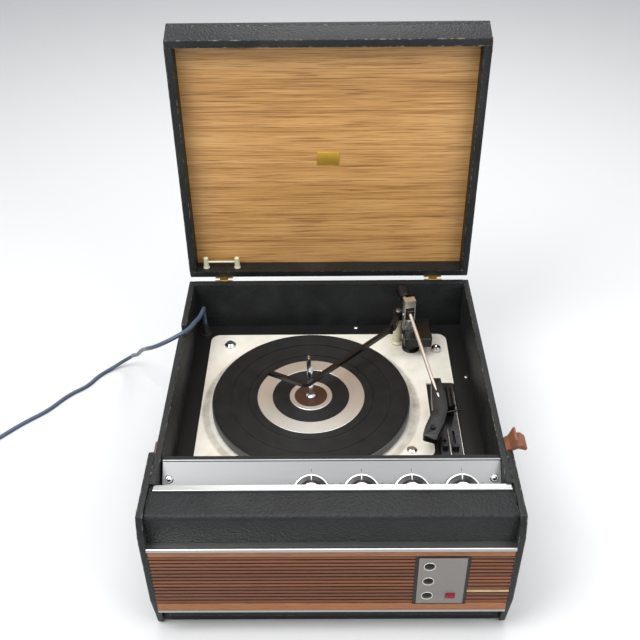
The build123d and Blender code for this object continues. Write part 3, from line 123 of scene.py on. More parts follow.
# Controls, with heights counted out from the panel
PANEL_BACK_Y = -141.5
PANEL_BACK_Z = 207.0
PANEL_SLOPE = math.radians(40)
KNOB_X = {"selector": -22.5, "volume": 36.0, "treble": 94.5, "bass": 153.0}
KNOB_DOWN = 39.0
KNOB_R = 22.0
KNOB_FOOT = 0.7
KNOB_TOP = 12.0
GRIP_R = 14.5
GRIP_FOOT = 6.5
FLUTES = 12
FLUTE_DEPTH = 0.7
FLUTES_END_R = 12.5
CAP_R = 11.8
POINTER_HALF_WIDTH = 0.7
POINTER_R = (14.8, 20.3)
POINTER_Z = (5.3, 6.1)
TICK_R = (25.0, 28.4)
TICK_HALF_WIDTH = 0.25
TICK_Z = (0.01, 0.06)
TICK_TURNS = (25, 90, 155)

# Deck
PLATTER_X = -25.5
PLATTER_Y = 29.5
GROOVE_R = (138.0, 150.0)
LEVER_STRIPS = (((171.6, 172.4), (-69.5, 54.0)), ((155.6, 156.4), (-69.5, -20.0)))
LEVER_STRIP_Z = (137.0, 137.4)

# Pickup arm
ARM_ROOT = (114.5, 152.5, 203.0)
ARM_TIP = (144.0, -1.0, 173.0)
FERRULE_R = (2.5, 3.1)
FERRULE_SPAN = (1.0, 9.2)

# Lid
LINING_Y = 257.0
LID_PLATE_Z = 392.6
LID_PLATE_HALF = (15.5, 10.0)
LID_PLATE_PROUD = (0.9, 0.02)

# Mains lead
CORD_R = 3.0
CORD_GAP = 6.5
SLEEVE_TOP_Z = 155.0
CORD_ROUTE = (
    (-186.0, 190.0, SLEEVE_TOP_Z),
    (-186.0, 190.0, 173.0),
    (-184.5, 181.5, 189.0),
    (-181.0, 162.5, 202.0),
    (-184.5, 139.0, 204.0),
    (-189.5, 124.5, 207.0),
    (-195.0, 109.5, 207.0),
    (-208.5, 95.0, 206.5),
    (-226.5, 87.5, 200.5),
    (-245.0, 90.0, 189.5),
    (-260.0, 105.5, 174.5),
    (-264.5, 134.5, 151.0),
    (-282.5, 165.0, 123.5),
    (-297.0, 196.0, 88.5),
    (-315.0, 227.5, 61.0),
    (-320.5, 261.5, 34.0),
    (-340.5, 271.0, 14.5),
    (-363.0, 263.5, CORD_R),
    (-382.0, 244.0, CORD_R),
    (-393.5, 219.5, CORD_R),
    (-421.5, 198.0, CORD_R),
    (-444.5, 162.0, CORD_R),
    (-476.0, 135.5, CORD_R),
    (-506.5, 101.5, CORD_R),
    (-528.0, 77.0, CORD_R),
)
COIL_INNER_R = 30.0
COIL_LOWER_TURNS = 1.25
COIL_UPPER_TURNS = 1.5
COIL_CLIMB = 0.5
COIL_POINTS_PER_TURN = 16
TAIL_LENGTH = 46
TAIL_ASIDE = 7
TAIL_STRAIGHT = 12

# Camera, as the photograph was taken, in pixels of the photograph where the name says so
PHOTO_PX = 640
FOCAL_PX = 901.2
LENS_AXIS_PX = 319.5
CAMERA_AT = (-3.6, -880.3, 982.3)
CAMERA_PITCH = math.radians(37.57)
CAMERA_ROLL = math.radians(0.70)
CAMERA_YAW = math.radians(-0.57)
FILM_WIDTH = 36.0
NEAREST_SEEN_M = 0.05

FLOOR_HALF_M = 6.0

node = frame["nodes"]


# Camera, floor and light

def make_camera():
    """The camera of the photograph: its place, its tilt and its focal length."""
    forward = Vector(
        (
            math.sin(CAMERA_YAW) * math.cos(CAMERA_PITCH),
            math.cos(CAMERA_YAW) * math.cos(CAMERA_PITCH),
            -math.sin(CAMERA_PITCH),
        )
    )
    right = Vector((math.cos(CAMERA_YAW), -math.sin(CAMERA_YAW), 0.0))
    down = forward.cross(right)
    side = math.cos(CAMERA_ROLL) * right + math.sin(CAMERA_ROLL) * down
    up = -(math.cos(CAMERA_ROLL) * down - math.sin(CAMERA_ROLL) * right)
    turn = Matrix((side, up, -forward)).transposed().to_4x4()
    data = bpy.data.cameras.new("camera")
    data.sensor_width = FILM_WIDTH
    data.lens = FILM_WIDTH * FOCAL_PX / PHOTO_PX
    data.shift_x = (PHOTO_PX / 2 - LENS_AXIS_PX) / PHOTO_PX
    data.clip_start = NEAREST_SEEN_M
    camera = bpy.data.objects.new("camera", data)
    camera.matrix_world = Matrix.Translation(at(*CAMERA_AT)) @ turn
    bpy.context.scene.collection.objects.link(camera)
    bpy.context.scene.camera = camera


def linear(hex_colour):
    """An sRGB hex colour as the linear values that a shader takes."""
    values = [int(hex_colour[k:k + 2], 16) / 255 for k in (1, 3, 5)]
    return [v / 12.92 if v <= 0.04045 else ((v + 0.055) / 1.055) ** 2.4 for v in values] + [1.0]


def add(tree, kind, settings=None, **links):
    """Adds one node to a tree, with its settings and its links.

    A setting names an input, a property, or the stops of a colour ramp as (place, hex colour) pairs. A link
    joins an output to the input of that name, or to the input of that number after an underscore. Numbers
    serve where inputs share a name, as on a colour mix, whose two colours are 6 and 7 and whose result is
    output 2."""
    made = tree.nodes.new(kind)
    for name, value in (settings or {}).items():
        if name == "stops":
            elements = made.color_ramp.elements
            while len(elements) < len(value):
                elements.new(0.5)
            for element, (place, colour) in zip(elements, value):
                element.position = place
                element.color = linear(colour)
        elif isinstance(name, int) or name in made.inputs:
            made.inputs[name].default_value = value
        else:
            setattr(made, name, value)
    for name, source in links.items():
        socket = made.inputs[int(name[1:])] if name[0] == "_" else made.inputs[name.replace("_", " ")]
        tree.links.new(source, socket)
    return made


def new_material(name, colour, **values):
    """A material with a Principled shader. Returns the material, its tree and the shader."""
    made = bpy.data.materials.new(name)
    made.use_nodes = True
    tree = made.node_tree
    shader = tree.nodes["Principled BSDF"]
    shader.inputs["Base Color"].default_value = linear(colour)
    for key, value in values.items():
        shader.inputs[key.replace("_", " ")].default_value = value
    return made, tree, shader


def make_studio():
    """A pale floor, a white surround for the camera and for reflections, and soft lamps."""
    bpy.context.scene.view_settings.view_transform = "Standard"
    world = bpy.data.worlds.new("studio")
    bpy.context.scene.world = world
    world.use_nodes = True
    tree = world.node_tree
    tree.nodes.clear()
    path = add(tree, "ShaderNodeLightPath")
    seen = add(tree, "ShaderNodeMath", {"operation": "MAXIMUM"}, _0=path.outputs["Is Camera Ray"],
               _1=path.outputs["Is Transmission Ray"])
    seen = add(tree, "ShaderNodeMath", {"operation": "MAXIMUM"}, _0=seen.outputs[0],
               _1=path.outputs["Is Glossy Ray"])
    light = add(tree, "ShaderNodeBackground", {"Color": linear("#e9edf2"), "Strength": 0.55})
    backdrop = add(tree, "ShaderNodeBackground", {"Color": linear("#ffffff"), "Strength": 1.0})
    mix = add(tree, "ShaderNodeMixShader", {}, _0=seen.outputs[0], _1=light.outputs[0],
              _2=backdrop.outputs[0])
    add(tree, "ShaderNodeOutputWorld", {}, Surface=mix.outputs[0])

    bm = bmesh.new()
    bmesh.ops.create_grid(bm, x_segments=1, y_segments=1, size=FLOOR_HALF_M)
    mesh = bpy.data.meshes.new("floor")
    bm.to_mesh(mesh)
    bm.free()
    floor = bpy.data.objects.new("floor", mesh)
    bpy.context.scene.collection.objects.link(floor)
    paper, tree, shader = new_material("matt_studio_paper", "#dcdcdc", Roughness=0.9)
    grain = add(tree, "ShaderNodeTexNoise", {"Scale": 90.0, "Detail": 3.0},
                Vector=add(tree, "ShaderNodeTexCoord").outputs["Object"])
    relief = add(tree, "ShaderNodeBump", {"Strength": 0.05, "Distance": 1.0 * MM},
                 Height=grain.outputs["Fac"])
    tree.links.new(relief.outputs[0], shader.inputs["Normal"])
    mesh.materials.append(paper)

    # Each lamp's place, the place it looks at, its side in millimetres and its power in watts
    lamps = {
        "key": ((-900, -700, 1900), (0, 0, 200), 900, 26.0),
        "fill": ((1100, -900, 1400), (0, 0, 200), 1000, 12.0),
        "back": ((100, 1300, 1700), (0, 100, 250), 900, 12.0),
        "top": ((0, -100, 2200), (0, 0, 0), 1300, 20.0),
    }
    for name, (place, target, side, power) in lamps.items():
        data = bpy.data.lights.new(name, "AREA")
        data.shape = "SQUARE"
        data.size = side * MM
        data.energy = power
        lamp = bpy.data.objects.new(name, data)
        lamp.location = at(*place)
        lamp.rotation_euler = (at(*target) - at(*place)).to_track_quat("-Z", "Y").to_euler()
        bpy.context.scene.collection.objects.link(lamp)


# Meshes

def smooth(mesh):
    """Shade a mesh smooth, with an edge kept sharp where its faces meet at a wide angle."""
    bm = bmesh.new()
    bm.from_mesh(mesh)
    for face in bm.faces:
        face.smooth = True
    for edge in bm.edges:
        edge.smooth = len(edge.link_faces) == 2 and edge.calc_face_angle(0.0) < SHARP_ANGLE
    bm.to_mesh(mesh)
    bm.free()


def show(name, mesh, finish, rides="cabinet", stands_for=()):
    """Put a finished mesh in the scene, as a piece that rides on a body and may stand for CAD nodes.

    Where it has two finishes, it takes both, in order."""
    made = bpy.data.objects.new(name, mesh)
    bpy.context.scene.collection.objects.link(made)
    finishes = (finish,) if isinstance(finish, str) else finish
    if not mesh.materials:
        for each in finishes:
            mesh.materials.append(materials[each])
    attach(made, rides)
    if stands_for:
        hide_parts(*stands_for)


def from_bm(name, bm):
    """A mesh from bmesh, with its doubles merged, its faces turned outwards and its shading smoothed."""
    bmesh.ops.remove_doubles(bm, verts=bm.verts, dist=WELD * MM)
    bmesh.ops.recalc_face_normals(bm, faces=bm.faces)
    mesh = bpy.data.meshes.new(name)
    bm.to_mesh(mesh)
    bm.free()
    smooth(mesh)
    return mesh


def lathe(bm, outline, place, segments, finish=0, radius_at=None):
    """Turn an outline of (radius, height) points in millimetres about the place's own Z."""
    rings = []
    for r, z in outline:
        if r == 0:
            rings.append([bm.verts.new(place @ Vector((0, 0, z * MM)))])
            continue
        ring = []
        for k in range(segments):
            a = 2 * math.pi * k / segments
            rr = radius_at(r, z, a) if radius_at else r
            spot = Vector((rr * math.cos(a) * MM, rr * math.sin(a) * MM, z * MM))
            ring.append(bm.verts.new(place @ spot))
        rings.append(ring)
    for low, high in zip(rings[:-1], rings[1:]):
        for k in range(segments):
            n = (k + 1) % segments
            if len(low) == 1:
                face = bm.faces.new((low[0], high[n], high[k]))
            elif len(high) == 1:
                face = bm.faces.new((low[k], low[n], high[0]))
            else:
                face = bm.faces.new((low[k], low[n], high[n], high[k]))
            face.material_index = finish


def closed_lathe(bm, outline, place, segments, finish=0):
    """A turned ring whose outline runs back to its first point."""
    lathe(bm, outline + [outline[0]], place, segments, finish)


def facing_front(x, y, z):
    """A place whose X runs to the right, whose Y runs up and whose Z comes out of the front."""
    return Matrix.Translation(at(x, y, z)) @ Matrix.Rotation(math.radians(90), 4, "X")


def block(bm, x, y, z, place=None, round_mm=0.0, finish=0):
    """A block between pairs of limits in millimetres, in a place's own axes or the player's."""
    where = place if place is not None else Matrix.Translation(at(0, 0, 0))
    size = Vector((x[1] - x[0], y[1] - y[0], z[1] - z[0])) * MM
    middle = Vector((x[0] + x[1], y[0] + y[1], z[0] + z[1])) * 0.5 * MM
    made = bmesh.ops.create_cube(bm, size=1.0)["verts"]
    for v in made:
        v.co = where @ (Vector((v.co.x * size.x, v.co.y * size.y, v.co.z * size.z)) + middle)
    for v in made:
        for f in v.link_faces:
            f.material_index = finish
    if round_mm:
        edges = list(dict.fromkeys(e for v in made for e in v.link_edges))
        bmesh.ops.bevel(bm, geom=edges, offset=round_mm * MM, segments=3, profile=0.5, affect="EDGES")


def prism(bm, outline, z, place, round_mm):
    """An outline of (x, y) points drawn up between a pair of heights, with eased edges."""
    low = [bm.verts.new(place @ (Vector((x, y, z[0])) * MM)) for x, y in outline]
    high = [bm.verts.new(place @ (Vector((x, y, z[1])) * MM)) for x, y in outline]
    count = len(outline)
    faces = [bm.faces.new(low[::-1]), bm.faces.new(high)]
    for k in range(count):
        n = (k + 1) % count
        faces.append(bm.faces.new((low[k], low[n], high[n], high[k])))
    edges = list(dict.fromkeys(e for f in faces for e in f.edges))
    bmesh.ops.bevel(bm, geom=edges, offset=round_mm * MM, segments=2, profile=0.5, affect="EDGES")


def solids_of(bm):
    """The separate solids of a mesh, each as the list of its faces."""
    left = set(bm.faces)
    found = []
    while left:
        waiting = [left.pop()]
        group = list(waiting)
        while waiting:
            near = {f for e in waiting.pop().edges for f in e.link_faces if f in left}
            left -= near
            waiting += near
            group += near
        found.append(group)
    return found


def refined(name, finish, ease_mm=0.0, small_mm=0.0):
    """A node's own shape with eased edges and smooth round faces.

    The eased edges are marked for the leathercloth, which paints them with pale scuffs, partly wear and
    partly a painted highlight. Where small_mm is given, a solid that is smaller than this in every
    direction takes the second of the two finishes."""
    bm = bmesh.new()
    bm.from_mesh(node[name].data)
    bmesh.ops.remove_doubles(bm, verts=bm.verts, dist=CAD_WELD * MM)
    bmesh.ops.dissolve_limit(bm, angle_limit=FLAT_ANGLE, verts=bm.verts, edges=bm.edges)
    edge_wear_and_highlight = bm.loops.layers.float.new("wear")
    if ease_mm:
        edges = [e for e in bm.edges if len(e.link_faces) == 2 and e.calc_face_angle(0.0) > SHARP_ANGLE]
        made = bmesh.ops.bevel(bm, geom=edges, offset=ease_mm * MM, segments=3, profile=0.5,
                               affect="EDGES", clamp_overlap=True)
        for face in made["faces"]:
            for corner in face.loops:
                corner[edge_wear_and_highlight] = 1.0
    if small_mm:
        for group in solids_of(bm):
            corners = [v.co for f in group for v in f.verts]
            size = max(max(c[k] for c in corners) - min(c[k] for c in corners) for k in range(3))
            for face in group:
                face.material_index = int(size < small_mm * MM)
    mesh = bpy.data.meshes.new(name + "_finished")
    bm.to_mesh(mesh)
    bm.free()
    smooth(mesh)
    show(name + "_finished", mesh, finish, node[name]["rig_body"], (name,))


# Repeated pieces, made with geometry nodes

def grown(name, tree, values):
    """Run a geometry tree with its named inputs, and return the result as a plain mesh."""
    seed = bpy.data.meshes.new(name + "_seed")
    carrier = bpy.data.objects.new(name + "_carrier", seed)
    bpy.context.scene.collection.objects.link(carrier)
    modifier = carrier.modifiers.new("grow", "NODES")
    modifier.node_group = tree
    for item in tree.interface.items_tree:
        if item.item_type == "SOCKET" and item.in_out == "INPUT" and item.name in values:
            modifier[item.identifier] = values[item.name]
    bpy.context.view_layer.update()
    shape = carrier.evaluated_get(bpy.context.evaluated_depsgraph_get())
    mesh = bpy.data.meshes.new_from_object(shape)
    mesh.name = name
    bpy.data.objects.remove(carrier)
    return mesh


def start_tree(name, inputs):
    """A geometry tree with named inputs and one geometry output."""
    tree = bpy.data.node_groups.new(name, "GeometryNodeTree")
    tree.interface.new_socket("Geometry", in_out="OUTPUT", socket_type="NodeSocketGeometry")
    for label, kind in inputs:
        tree.interface.new_socket(label, in_out="INPUT", socket_type=kind)
    return tree, add(tree, "NodeGroupInput").outputs, add(tree, "NodeGroupOutput")


def rib_tree():
    """Wooden bars stacked at one pitch: a rounded section drawn along X, each with a tone of its own."""
    length = "NodeSocketFloat"
    tree, given, result = start_tree(
        "grille_ribs",
        [("Start", "NodeSocketVector"), ("End", "NodeSocketVector"), ("Pitch", "NodeSocketVector"),
         ("Count", "NodeSocketInt"), ("Height", length), ("Depth", length), ("Round", length),
         ("Seed", "NodeSocketInt"), ("Material", "NodeSocketMaterial")],
    )
    line = add(tree, "GeometryNodeCurvePrimitiveLine", {}, Start=given["Start"], End=given["End"])
    level = add(tree, "GeometryNodeSetCurveNormal", {"mode": "Z_UP"}, Curve=line.outputs[0])
    section = add(tree, "GeometryNodeCurvePrimitiveQuadrilateral", {}, Width=given["Depth"],
                  Height=given["Height"])
    eased = add(tree, "GeometryNodeFilletCurve", {"mode": "POLY", "Count": 4}, Curve=section.outputs[0],
                Radius=given["Round"])
    bar = add(tree, "GeometryNodeCurveToMesh", {"Fill Caps": True}, Curve=level.outputs[0],
              Profile_Curve=eased.outputs[0])
    rows = add(tree, "GeometryNodeMeshLine", {"mode": "OFFSET"}, Count=given["Count"],
               Offset=given["Pitch"])
    stack = add(tree, "GeometryNodeInstanceOnPoints", {}, Points=rows.outputs[0], Instance=bar.outputs[0])
    tone = add(tree, "FunctionNodeRandomValue", {"data_type": "FLOAT"}, Seed=given["Seed"])
    marked = add(tree, "GeometryNodeStoreNamedAttribute",
                 {"domain": "INSTANCE", "data_type": "FLOAT", "Name": "tone"}, Geometry=stack.outputs[0],
                 Value=tone.outputs[1])
    solid = add(tree, "GeometryNodeRealizeInstances", {}, Geometry=marked.outputs[0])
    dressed = add(tree, "GeometryNodeSetMaterial", {}, Geometry=solid.outputs[0],
                  Material=given["Material"])
    tree.links.new(dressed.outputs[0], result.inputs[0])
    return tree


# Mains lead

def coil_route(start, heading):
    """The points of the coil: in on the lower layer, up in half a turn, and out on the upper layer."""
    outer = COIL_INNER_R + CORD_GAP * (COIL_LOWER_TURNS + COIL_CLIMB / 2)
    right = Vector((heading.y, -heading.x, 0))
    centre = start + heading * (2 * CORD_R) + right * outer
    first = math.atan2(-right.y, -right.x)
    turns = COIL_LOWER_TURNS + COIL_CLIMB + COIL_UPPER_TURNS
    count = round(turns * COIL_POINTS_PER_TURN)
    points = []
    for k in range(count + 1):
        turn = turns * k / count
        left = COIL_LOWER_TURNS + COIL_CLIMB / 2 - turn
        radius = COIL_INNER_R + CORD_GAP * abs(left)
        climb = min(1.0, max(0.0, (COIL_CLIMB / 2 - left) / COIL_CLIMB))
        z = CORD_R + CORD_GAP * (climb - math.sin(2 * math.pi * climb) / (2 * math.pi))
        angle = first - 2 * math.pi * turn
        spot = (centre.x + radius * math.cos(angle), centre.y + radius * math.sin(angle), z)
        points.append(Vector(spot))
    return points


def make_lead():
    """The mains lead as one smooth tube, from its sleeve to its plug."""
    route = [Vector(p) for p in CORD_ROUTE]
    heading = (route[-1] - route[-2]).normalized()
    coil = coil_route(route[-1], heading)
    outward = (coil[-1] - coil[-2]).normalized()
    aside = Vector((outward.y, -outward.x, 0))
    tail = coil[-1] + outward * TAIL_LENGTH - aside * TAIL_ASIDE
    points = route + coil[1:]
    points += [coil[-1] + outward * TAIL_STRAIGHT, tail - outward * TAIL_STRAIGHT, tail,
               tail + outward * (2 * CORD_R)]
    curve = bpy.data.curves.new("lead", "CURVE")
    curve.dimensions = "3D"
    curve.bevel_depth = CORD_R * MM
    curve.bevel_resolution = 5
    curve.resolution_u = 6
    curve.use_fill_caps = True
    spline = curve.splines.new("NURBS")
    spline.points.add(len(points) - 1)
    for k, p in enumerate(points):
        spline.points[k].co = (*at(*p), 1.0)
    spline.order_u = 3
    spline.use_endpoint_u = True
    lead = bpy.data.objects.new("lead", curve)
    bpy.context.scene.collection.objects.link(lead)
    curve.materials.append(materials["pvc_cord"])
    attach(lead, "cabinet")
    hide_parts("mains_lead")


# Materials

def place_on(tree, stretch=(1, 1, 1)):
    """Object coordinates, squeezed where a pattern is to run longer in one direction."""
    coords = add(tree, "ShaderNodeTexCoord")
    return add(tree, "ShaderNodeMapping", {"Scale": stretch}, Vector=coords.outputs["Object"]).outputs[0]


def per_metre(size_mm):
    """The scale of a texture whose features are to be this big."""
    return 1000.0 / size_mm


def leathercloth():
    """Black leathercloth: PVC on cloth, pressed with a pebble grain, so that it glints in small points."""
    made, tree, shader = new_material("black_leathercloth", "#191b1c", Roughness=0.5,
                                      Specular_IOR_Level=0.3)
    where = place_on(tree)
    pebble = add(tree, "ShaderNodeTexVoronoi", {"Scale": per_metre(2.4), "feature": "SMOOTH_F1"},
                 Vector=where)
    fine = add(tree, "ShaderNodeTexNoise", {"Scale": per_metre(3.5), "Detail": 5.0}, Vector=where)
    patches = add(tree, "ShaderNodeTexNoise", {"Scale": per_metre(40.0), "Detail": 6.0}, Vector=where)
    height = add(tree, "ShaderNodeMath", {"operation": "MULTIPLY_ADD", 1: 0.6}, _0=fine.outputs["Fac"],
                 _2=pebble.outputs["Distance"])
    relief = add(tree, "ShaderNodeBump", {"Strength": 1.0, "Distance": 0.8 * MM}, Height=height.outputs[0])
    tree.links.new(relief.outputs[0], shader.inputs["Normal"])
    colour = add(tree, "ShaderNodeValToRGB",
                 {"stops": [(0.3, "#111213"), (0.55, "#191b1c"), (0.8, "#272827")]},
                 Fac=patches.outputs["Fac"])
    edge_patches = add(tree, "ShaderNodeTexNoise", {"Scale": per_metre(7.0), "Detail": 6.0}, Vector=where)
    broken = add(tree, "ShaderNodeMapRange", {"From Min": 0.52, "From Max": 0.66},
                 Value=edge_patches.outputs["Fac"])
    # Pale grey scuffs along the eased edges: partly wear, partly a painted highlight where the edges catch
    # the light.
    edge = add(tree, "ShaderNodeAttribute", {"attribute_name": "wear"})
    edge_wear_and_highlight = add(tree, "ShaderNodeMath", {"operation": "MULTIPLY"}, _0=edge.outputs["Fac"],
               _1=broken.outputs[0])
    mix = add(tree, "ShaderNodeMix", {"data_type": "RGBA", 7: linear("#6a665e")}, _0=edge_wear_and_highlight.outputs[0],
              _6=colour.outputs["Color"])
    tree.links.new(mix.outputs[2], shader.inputs["Base Color"])
    rough = add(tree, "ShaderNodeMapRange", {"To Min": 0.42, "To Max": 0.62}, Value=patches.outputs["Fac"])
    tree.links.new(rough.outputs[0], shader.inputs["Roughness"])
    return made


def wood(name, stops, grain_mm, length_mm, roughness, pores=0.25, lines="#5a3417"):
    """Wood with its grain along X: broad bands, fine streaks and thin dark lines over shallow pores.

    A bar's own tone, where it has one, darkens the whole of it."""
    made, tree, shader = new_material(name, stops[0][1], Roughness=roughness)
    where = place_on(tree, (grain_mm / length_mm, 1, 1))
    warp = add(tree, "ShaderNodeTexNoise", {"Scale": per_metre(60.0), "Detail": 2.0}, Vector=where)
    bent = add(tree, "ShaderNodeVectorMath", {"operation": "MULTIPLY_ADD", 1: (0.0, 6 * MM, 6 * MM)},
               _0=warp.outputs["Color"], _2=where)
    grain = add(tree, "ShaderNodeTexNoise",
                {"Scale": per_metre(grain_mm), "Detail": 8.0, "Roughness": 0.65}, Vector=bent.outputs[0])
    bands = add(tree, "ShaderNodeTexNoise", {"Scale": per_metre(14.0), "Detail": 2.0},
                Vector=bent.outputs[0])
    both = add(tree, "ShaderNodeMix", {"data_type": "FLOAT", 0: 0.3}, _2=grain.outputs["Fac"],
               _3=bands.outputs["Fac"])
    colour = add(tree, "ShaderNodeValToRGB", {"stops": stops}, Fac=both.outputs[0])
    thin = add(tree, "ShaderNodeTexNoise", {"Scale": per_metre(grain_mm * 0.6), "Detail": 3.0},
               Vector=bent.outputs[0])
    lined = add(tree, "ShaderNodeMapRange", {"From Min": 0.57, "From Max": 0.66, "To Max": 0.85},
                Value=thin.outputs["Fac"])
    mix = add(tree, "ShaderNodeMix", {"data_type": "RGBA", 7: linear(lines)}, _0=lined.outputs[0],
              _6=colour.outputs["Color"])
    tone = add(tree, "ShaderNodeAttribute", {"attribute_name": "tone"})
    level = add(tree, "ShaderNodeMapRange", {"To Min": 1.0, "To Max": 0.68}, Value=tone.outputs["Fac"])
    toned = add(tree, "ShaderNodeHueSaturation", {}, Color=mix.outputs[2], Value=level.outputs[0])
    tree.links.new(toned.outputs[0], shader.inputs["Base Color"])
    relief = add(tree, "ShaderNodeBump", {"Strength": pores, "Distance": 0.15 * MM},
                 Height=grain.outputs["Fac"])
    tree.links.new(relief.outputs[0], shader.inputs["Normal"])
    return made


def brushed(name, colour, roughness):
    """Sheet metal with fine brush marks along X."""
    made, tree, shader = new_material(name, colour, Metallic=1.0, Roughness=roughness)
    marks = add(tree, "ShaderNodeTexNoise", {"Scale": per_metre(0.7), "Detail": 4.0},
                Vector=place_on(tree, (0.02, 1, 1)))
    relief = add(tree, "ShaderNodeBump", {"Strength": 0.3, "Distance": 0.03 * MM},
                 Height=marks.outputs["Fac"])
    tree.links.new(relief.outputs[0], shader.inputs["Normal"])
    rough = add(tree, "ShaderNodeMapRange", {"To Min": roughness * 0.8, "To Max": roughness * 1.25},
                Value=marks.outputs["Fac"])
    tree.links.new(rough.outputs[0], shader.inputs["Roughness"])
    return made


def plain(name, colour, roughness, metallic=0.0, speck_mm=2.0, depth_mm=0.02, spread="#000000", share=0.0,
          **values):
    """A moulded, painted or plated surface, slightly uneven in gloss and relief.

    Where share is given, clouds of a second colour lie over the first, up to that share."""
    made, tree, shader = new_material(name, colour, Roughness=roughness, Metallic=metallic, **values)
    where = place_on(tree)
    specks = add(tree, "ShaderNodeTexNoise", {"Scale": per_metre(speck_mm), "Detail": 4.0}, Vector=where)
    clouds = add(tree, "ShaderNodeTexNoise", {"Scale": per_metre(speck_mm * 12), "Detail": 3.0},
                 Vector=where)
    rough = add(tree, "ShaderNodeMapRange",
                {"To Min": roughness * 0.8, "To Max": min(1.0, roughness * 1.3)},
                Value=clouds.outputs["Fac"])
    tree.links.new(rough.outputs[0], shader.inputs["Roughness"])
    relief = add(tree, "ShaderNodeBump", {"Strength": 0.5, "Distance": depth_mm * MM},
                 Height=specks.outputs["Fac"])
    tree.links.new(relief.outputs[0], shader.inputs["Normal"])
    if share:
        mask = add(tree, "ShaderNodeMapRange", {"From Min": 0.45, "From Max": 0.75, "To Max": share},
                   Value=clouds.outputs["Fac"])
        mix = add(tree, "ShaderNodeMix", {"data_type": "RGBA", 6: linear(colour), 7: linear(spread)},
                  _0=mask.outputs[0])
        tree.links.new(mix.outputs[2], shader.inputs["Base Color"])
    return made


def radius_on_deck(tree):
    """The distance in metres from the platter's axis."""
    coords = add(tree, "ShaderNodeTexCoord")
    centre = at(PLATTER_X, PLATTER_Y, 0)
    apart = add(tree, "ShaderNodeVectorMath", {"operation": "SUBTRACT", 1: (centre.x, centre.y, 0)},
                _0=coords.outputs["Object"])
    flat = add(tree, "ShaderNodeVectorMath", {"operation": "MULTIPLY", 1: (1, 1, 0)}, _0=apart.outputs[0])
    return add(tree, "ShaderNodeVectorMath", {"operation": "LENGTH"}, _0=flat.outputs[0]).outputs["Value"]


def ring_relief(tree, shader, pitch_mm, depth_mm, strength):
    """Fine rings round the platter's axis, at a pitch and of a depth in millimetres."""
    turns = add(tree, "ShaderNodeMath", {"operation": "MULTIPLY", 1: 2 * math.pi * per_metre(pitch_mm)},
                _0=radius_on_deck(tree))
    rings = add(tree, "ShaderNodeMath", {"operation": "SINE"}, _0=turns.outputs[0])
    relief = add(tree, "ShaderNodeBump", {"Strength": strength, "Distance": depth_mm * MM},
                 Height=rings.outputs[0])
    tree.links.new(relief.outputs[0], shader.inputs["Normal"])


def ribbed_rubber():
    """Black moulded rubber with fine concentric ribs that a record rests on."""
    made, tree, shader = new_material("ribbed_mat_rubber", "#121213", Roughness=0.55,
                                      Specular_IOR_Level=0.25)
    ring_relief(tree, shader, 1.6, 0.18, 0.9)
    dust_and_groove_shade = add(tree, "ShaderNodeTexNoise", {"Scale": per_metre(22.0), "Detail": 6.0}, Vector=place_on(tree))
    colour = add(tree, "ShaderNodeValToRGB",
                 {"stops": [(0.35, "#0f0f10"), (0.65, "#191919"), (0.85, "#242322")]},
                 Fac=dust_and_groove_shade.outputs["Fac"])
    tree.links.new(colour.outputs["Color"], shader.inputs["Base Color"])
    return made


def spun_aluminium():
    """Aluminium turned on a lathe: its fine rings spread the light into a soft cone."""
    made, tree, shader = new_material("spun_aluminium", "#d2d2d0", Metallic=1.0, Roughness=0.42)
    ring_relief(tree, shader, 0.9, 0.03, 0.8)
    return made


def cream_enamel():
    """Cream stove enamel, smooth and half bright, with painted shade darkening the groove round the platter
    in uneven clouds.
    """
    made, tree, shader = new_material("cream_stove_enamel", "#e4e0d6", Roughness=0.32, Coat_Weight=0.2)
    where = place_on(tree)
    clouds = add(tree, "ShaderNodeTexNoise", {"Scale": per_metre(18.0), "Detail": 5.0}, Vector=where)
    paint = add(tree, "ShaderNodeValToRGB",
                {"stops": [(0.35, "#e6e2d8"), (0.60, "#dfdacd"), (0.80, "#d2ccbd")]},
                Fac=clouds.outputs["Fac"])
    middle = sum(GROOVE_R) / 2 * MM
    half = (GROOVE_R[1] - GROOVE_R[0]) / 2 * MM
    away = add(tree, "ShaderNodeMath", {"operation": "SUBTRACT", 1: middle}, _0=radius_on_deck(tree))
    apart = add(tree, "ShaderNodeMath", {"operation": "ABSOLUTE"}, _0=away.outputs[0])
    inside = add(tree, "ShaderNodeMapRange",
                 {"From Min": 0.5 * half, "From Max": 1.1 * half, "To Min": 1.0, "To Max": 0.0},
                 Value=apart.outputs[0])
    # Painted shade: the groove round the platter is darkened towards #8d8676 in clouds, where its recess
    # lies in shade.
    dust_and_groove_shade = add(tree, "ShaderNodeMath", {"operation": "MULTIPLY"}, _0=inside.outputs[0],
               _1=clouds.outputs["Fac"])
    mix = add(tree, "ShaderNodeMix", {"data_type": "RGBA", 7: linear("#8d8676")}, _0=dust_and_groove_shade.outputs[0],
              _6=paint.outputs["Color"])
    tree.links.new(mix.outputs[2], shader.inputs["Base Color"])
    fine = add(tree, "ShaderNodeTexNoise", {"Scale": per_metre(1.5), "Detail": 3.0}, Vector=where)
    relief = add(tree, "ShaderNodeBump", {"Strength": 0.5, "Distance": 0.03 * MM},
                 Height=fine.outputs["Fac"])
    tree.links.new(relief.outputs[0], shader.inputs["Normal"])
    return made


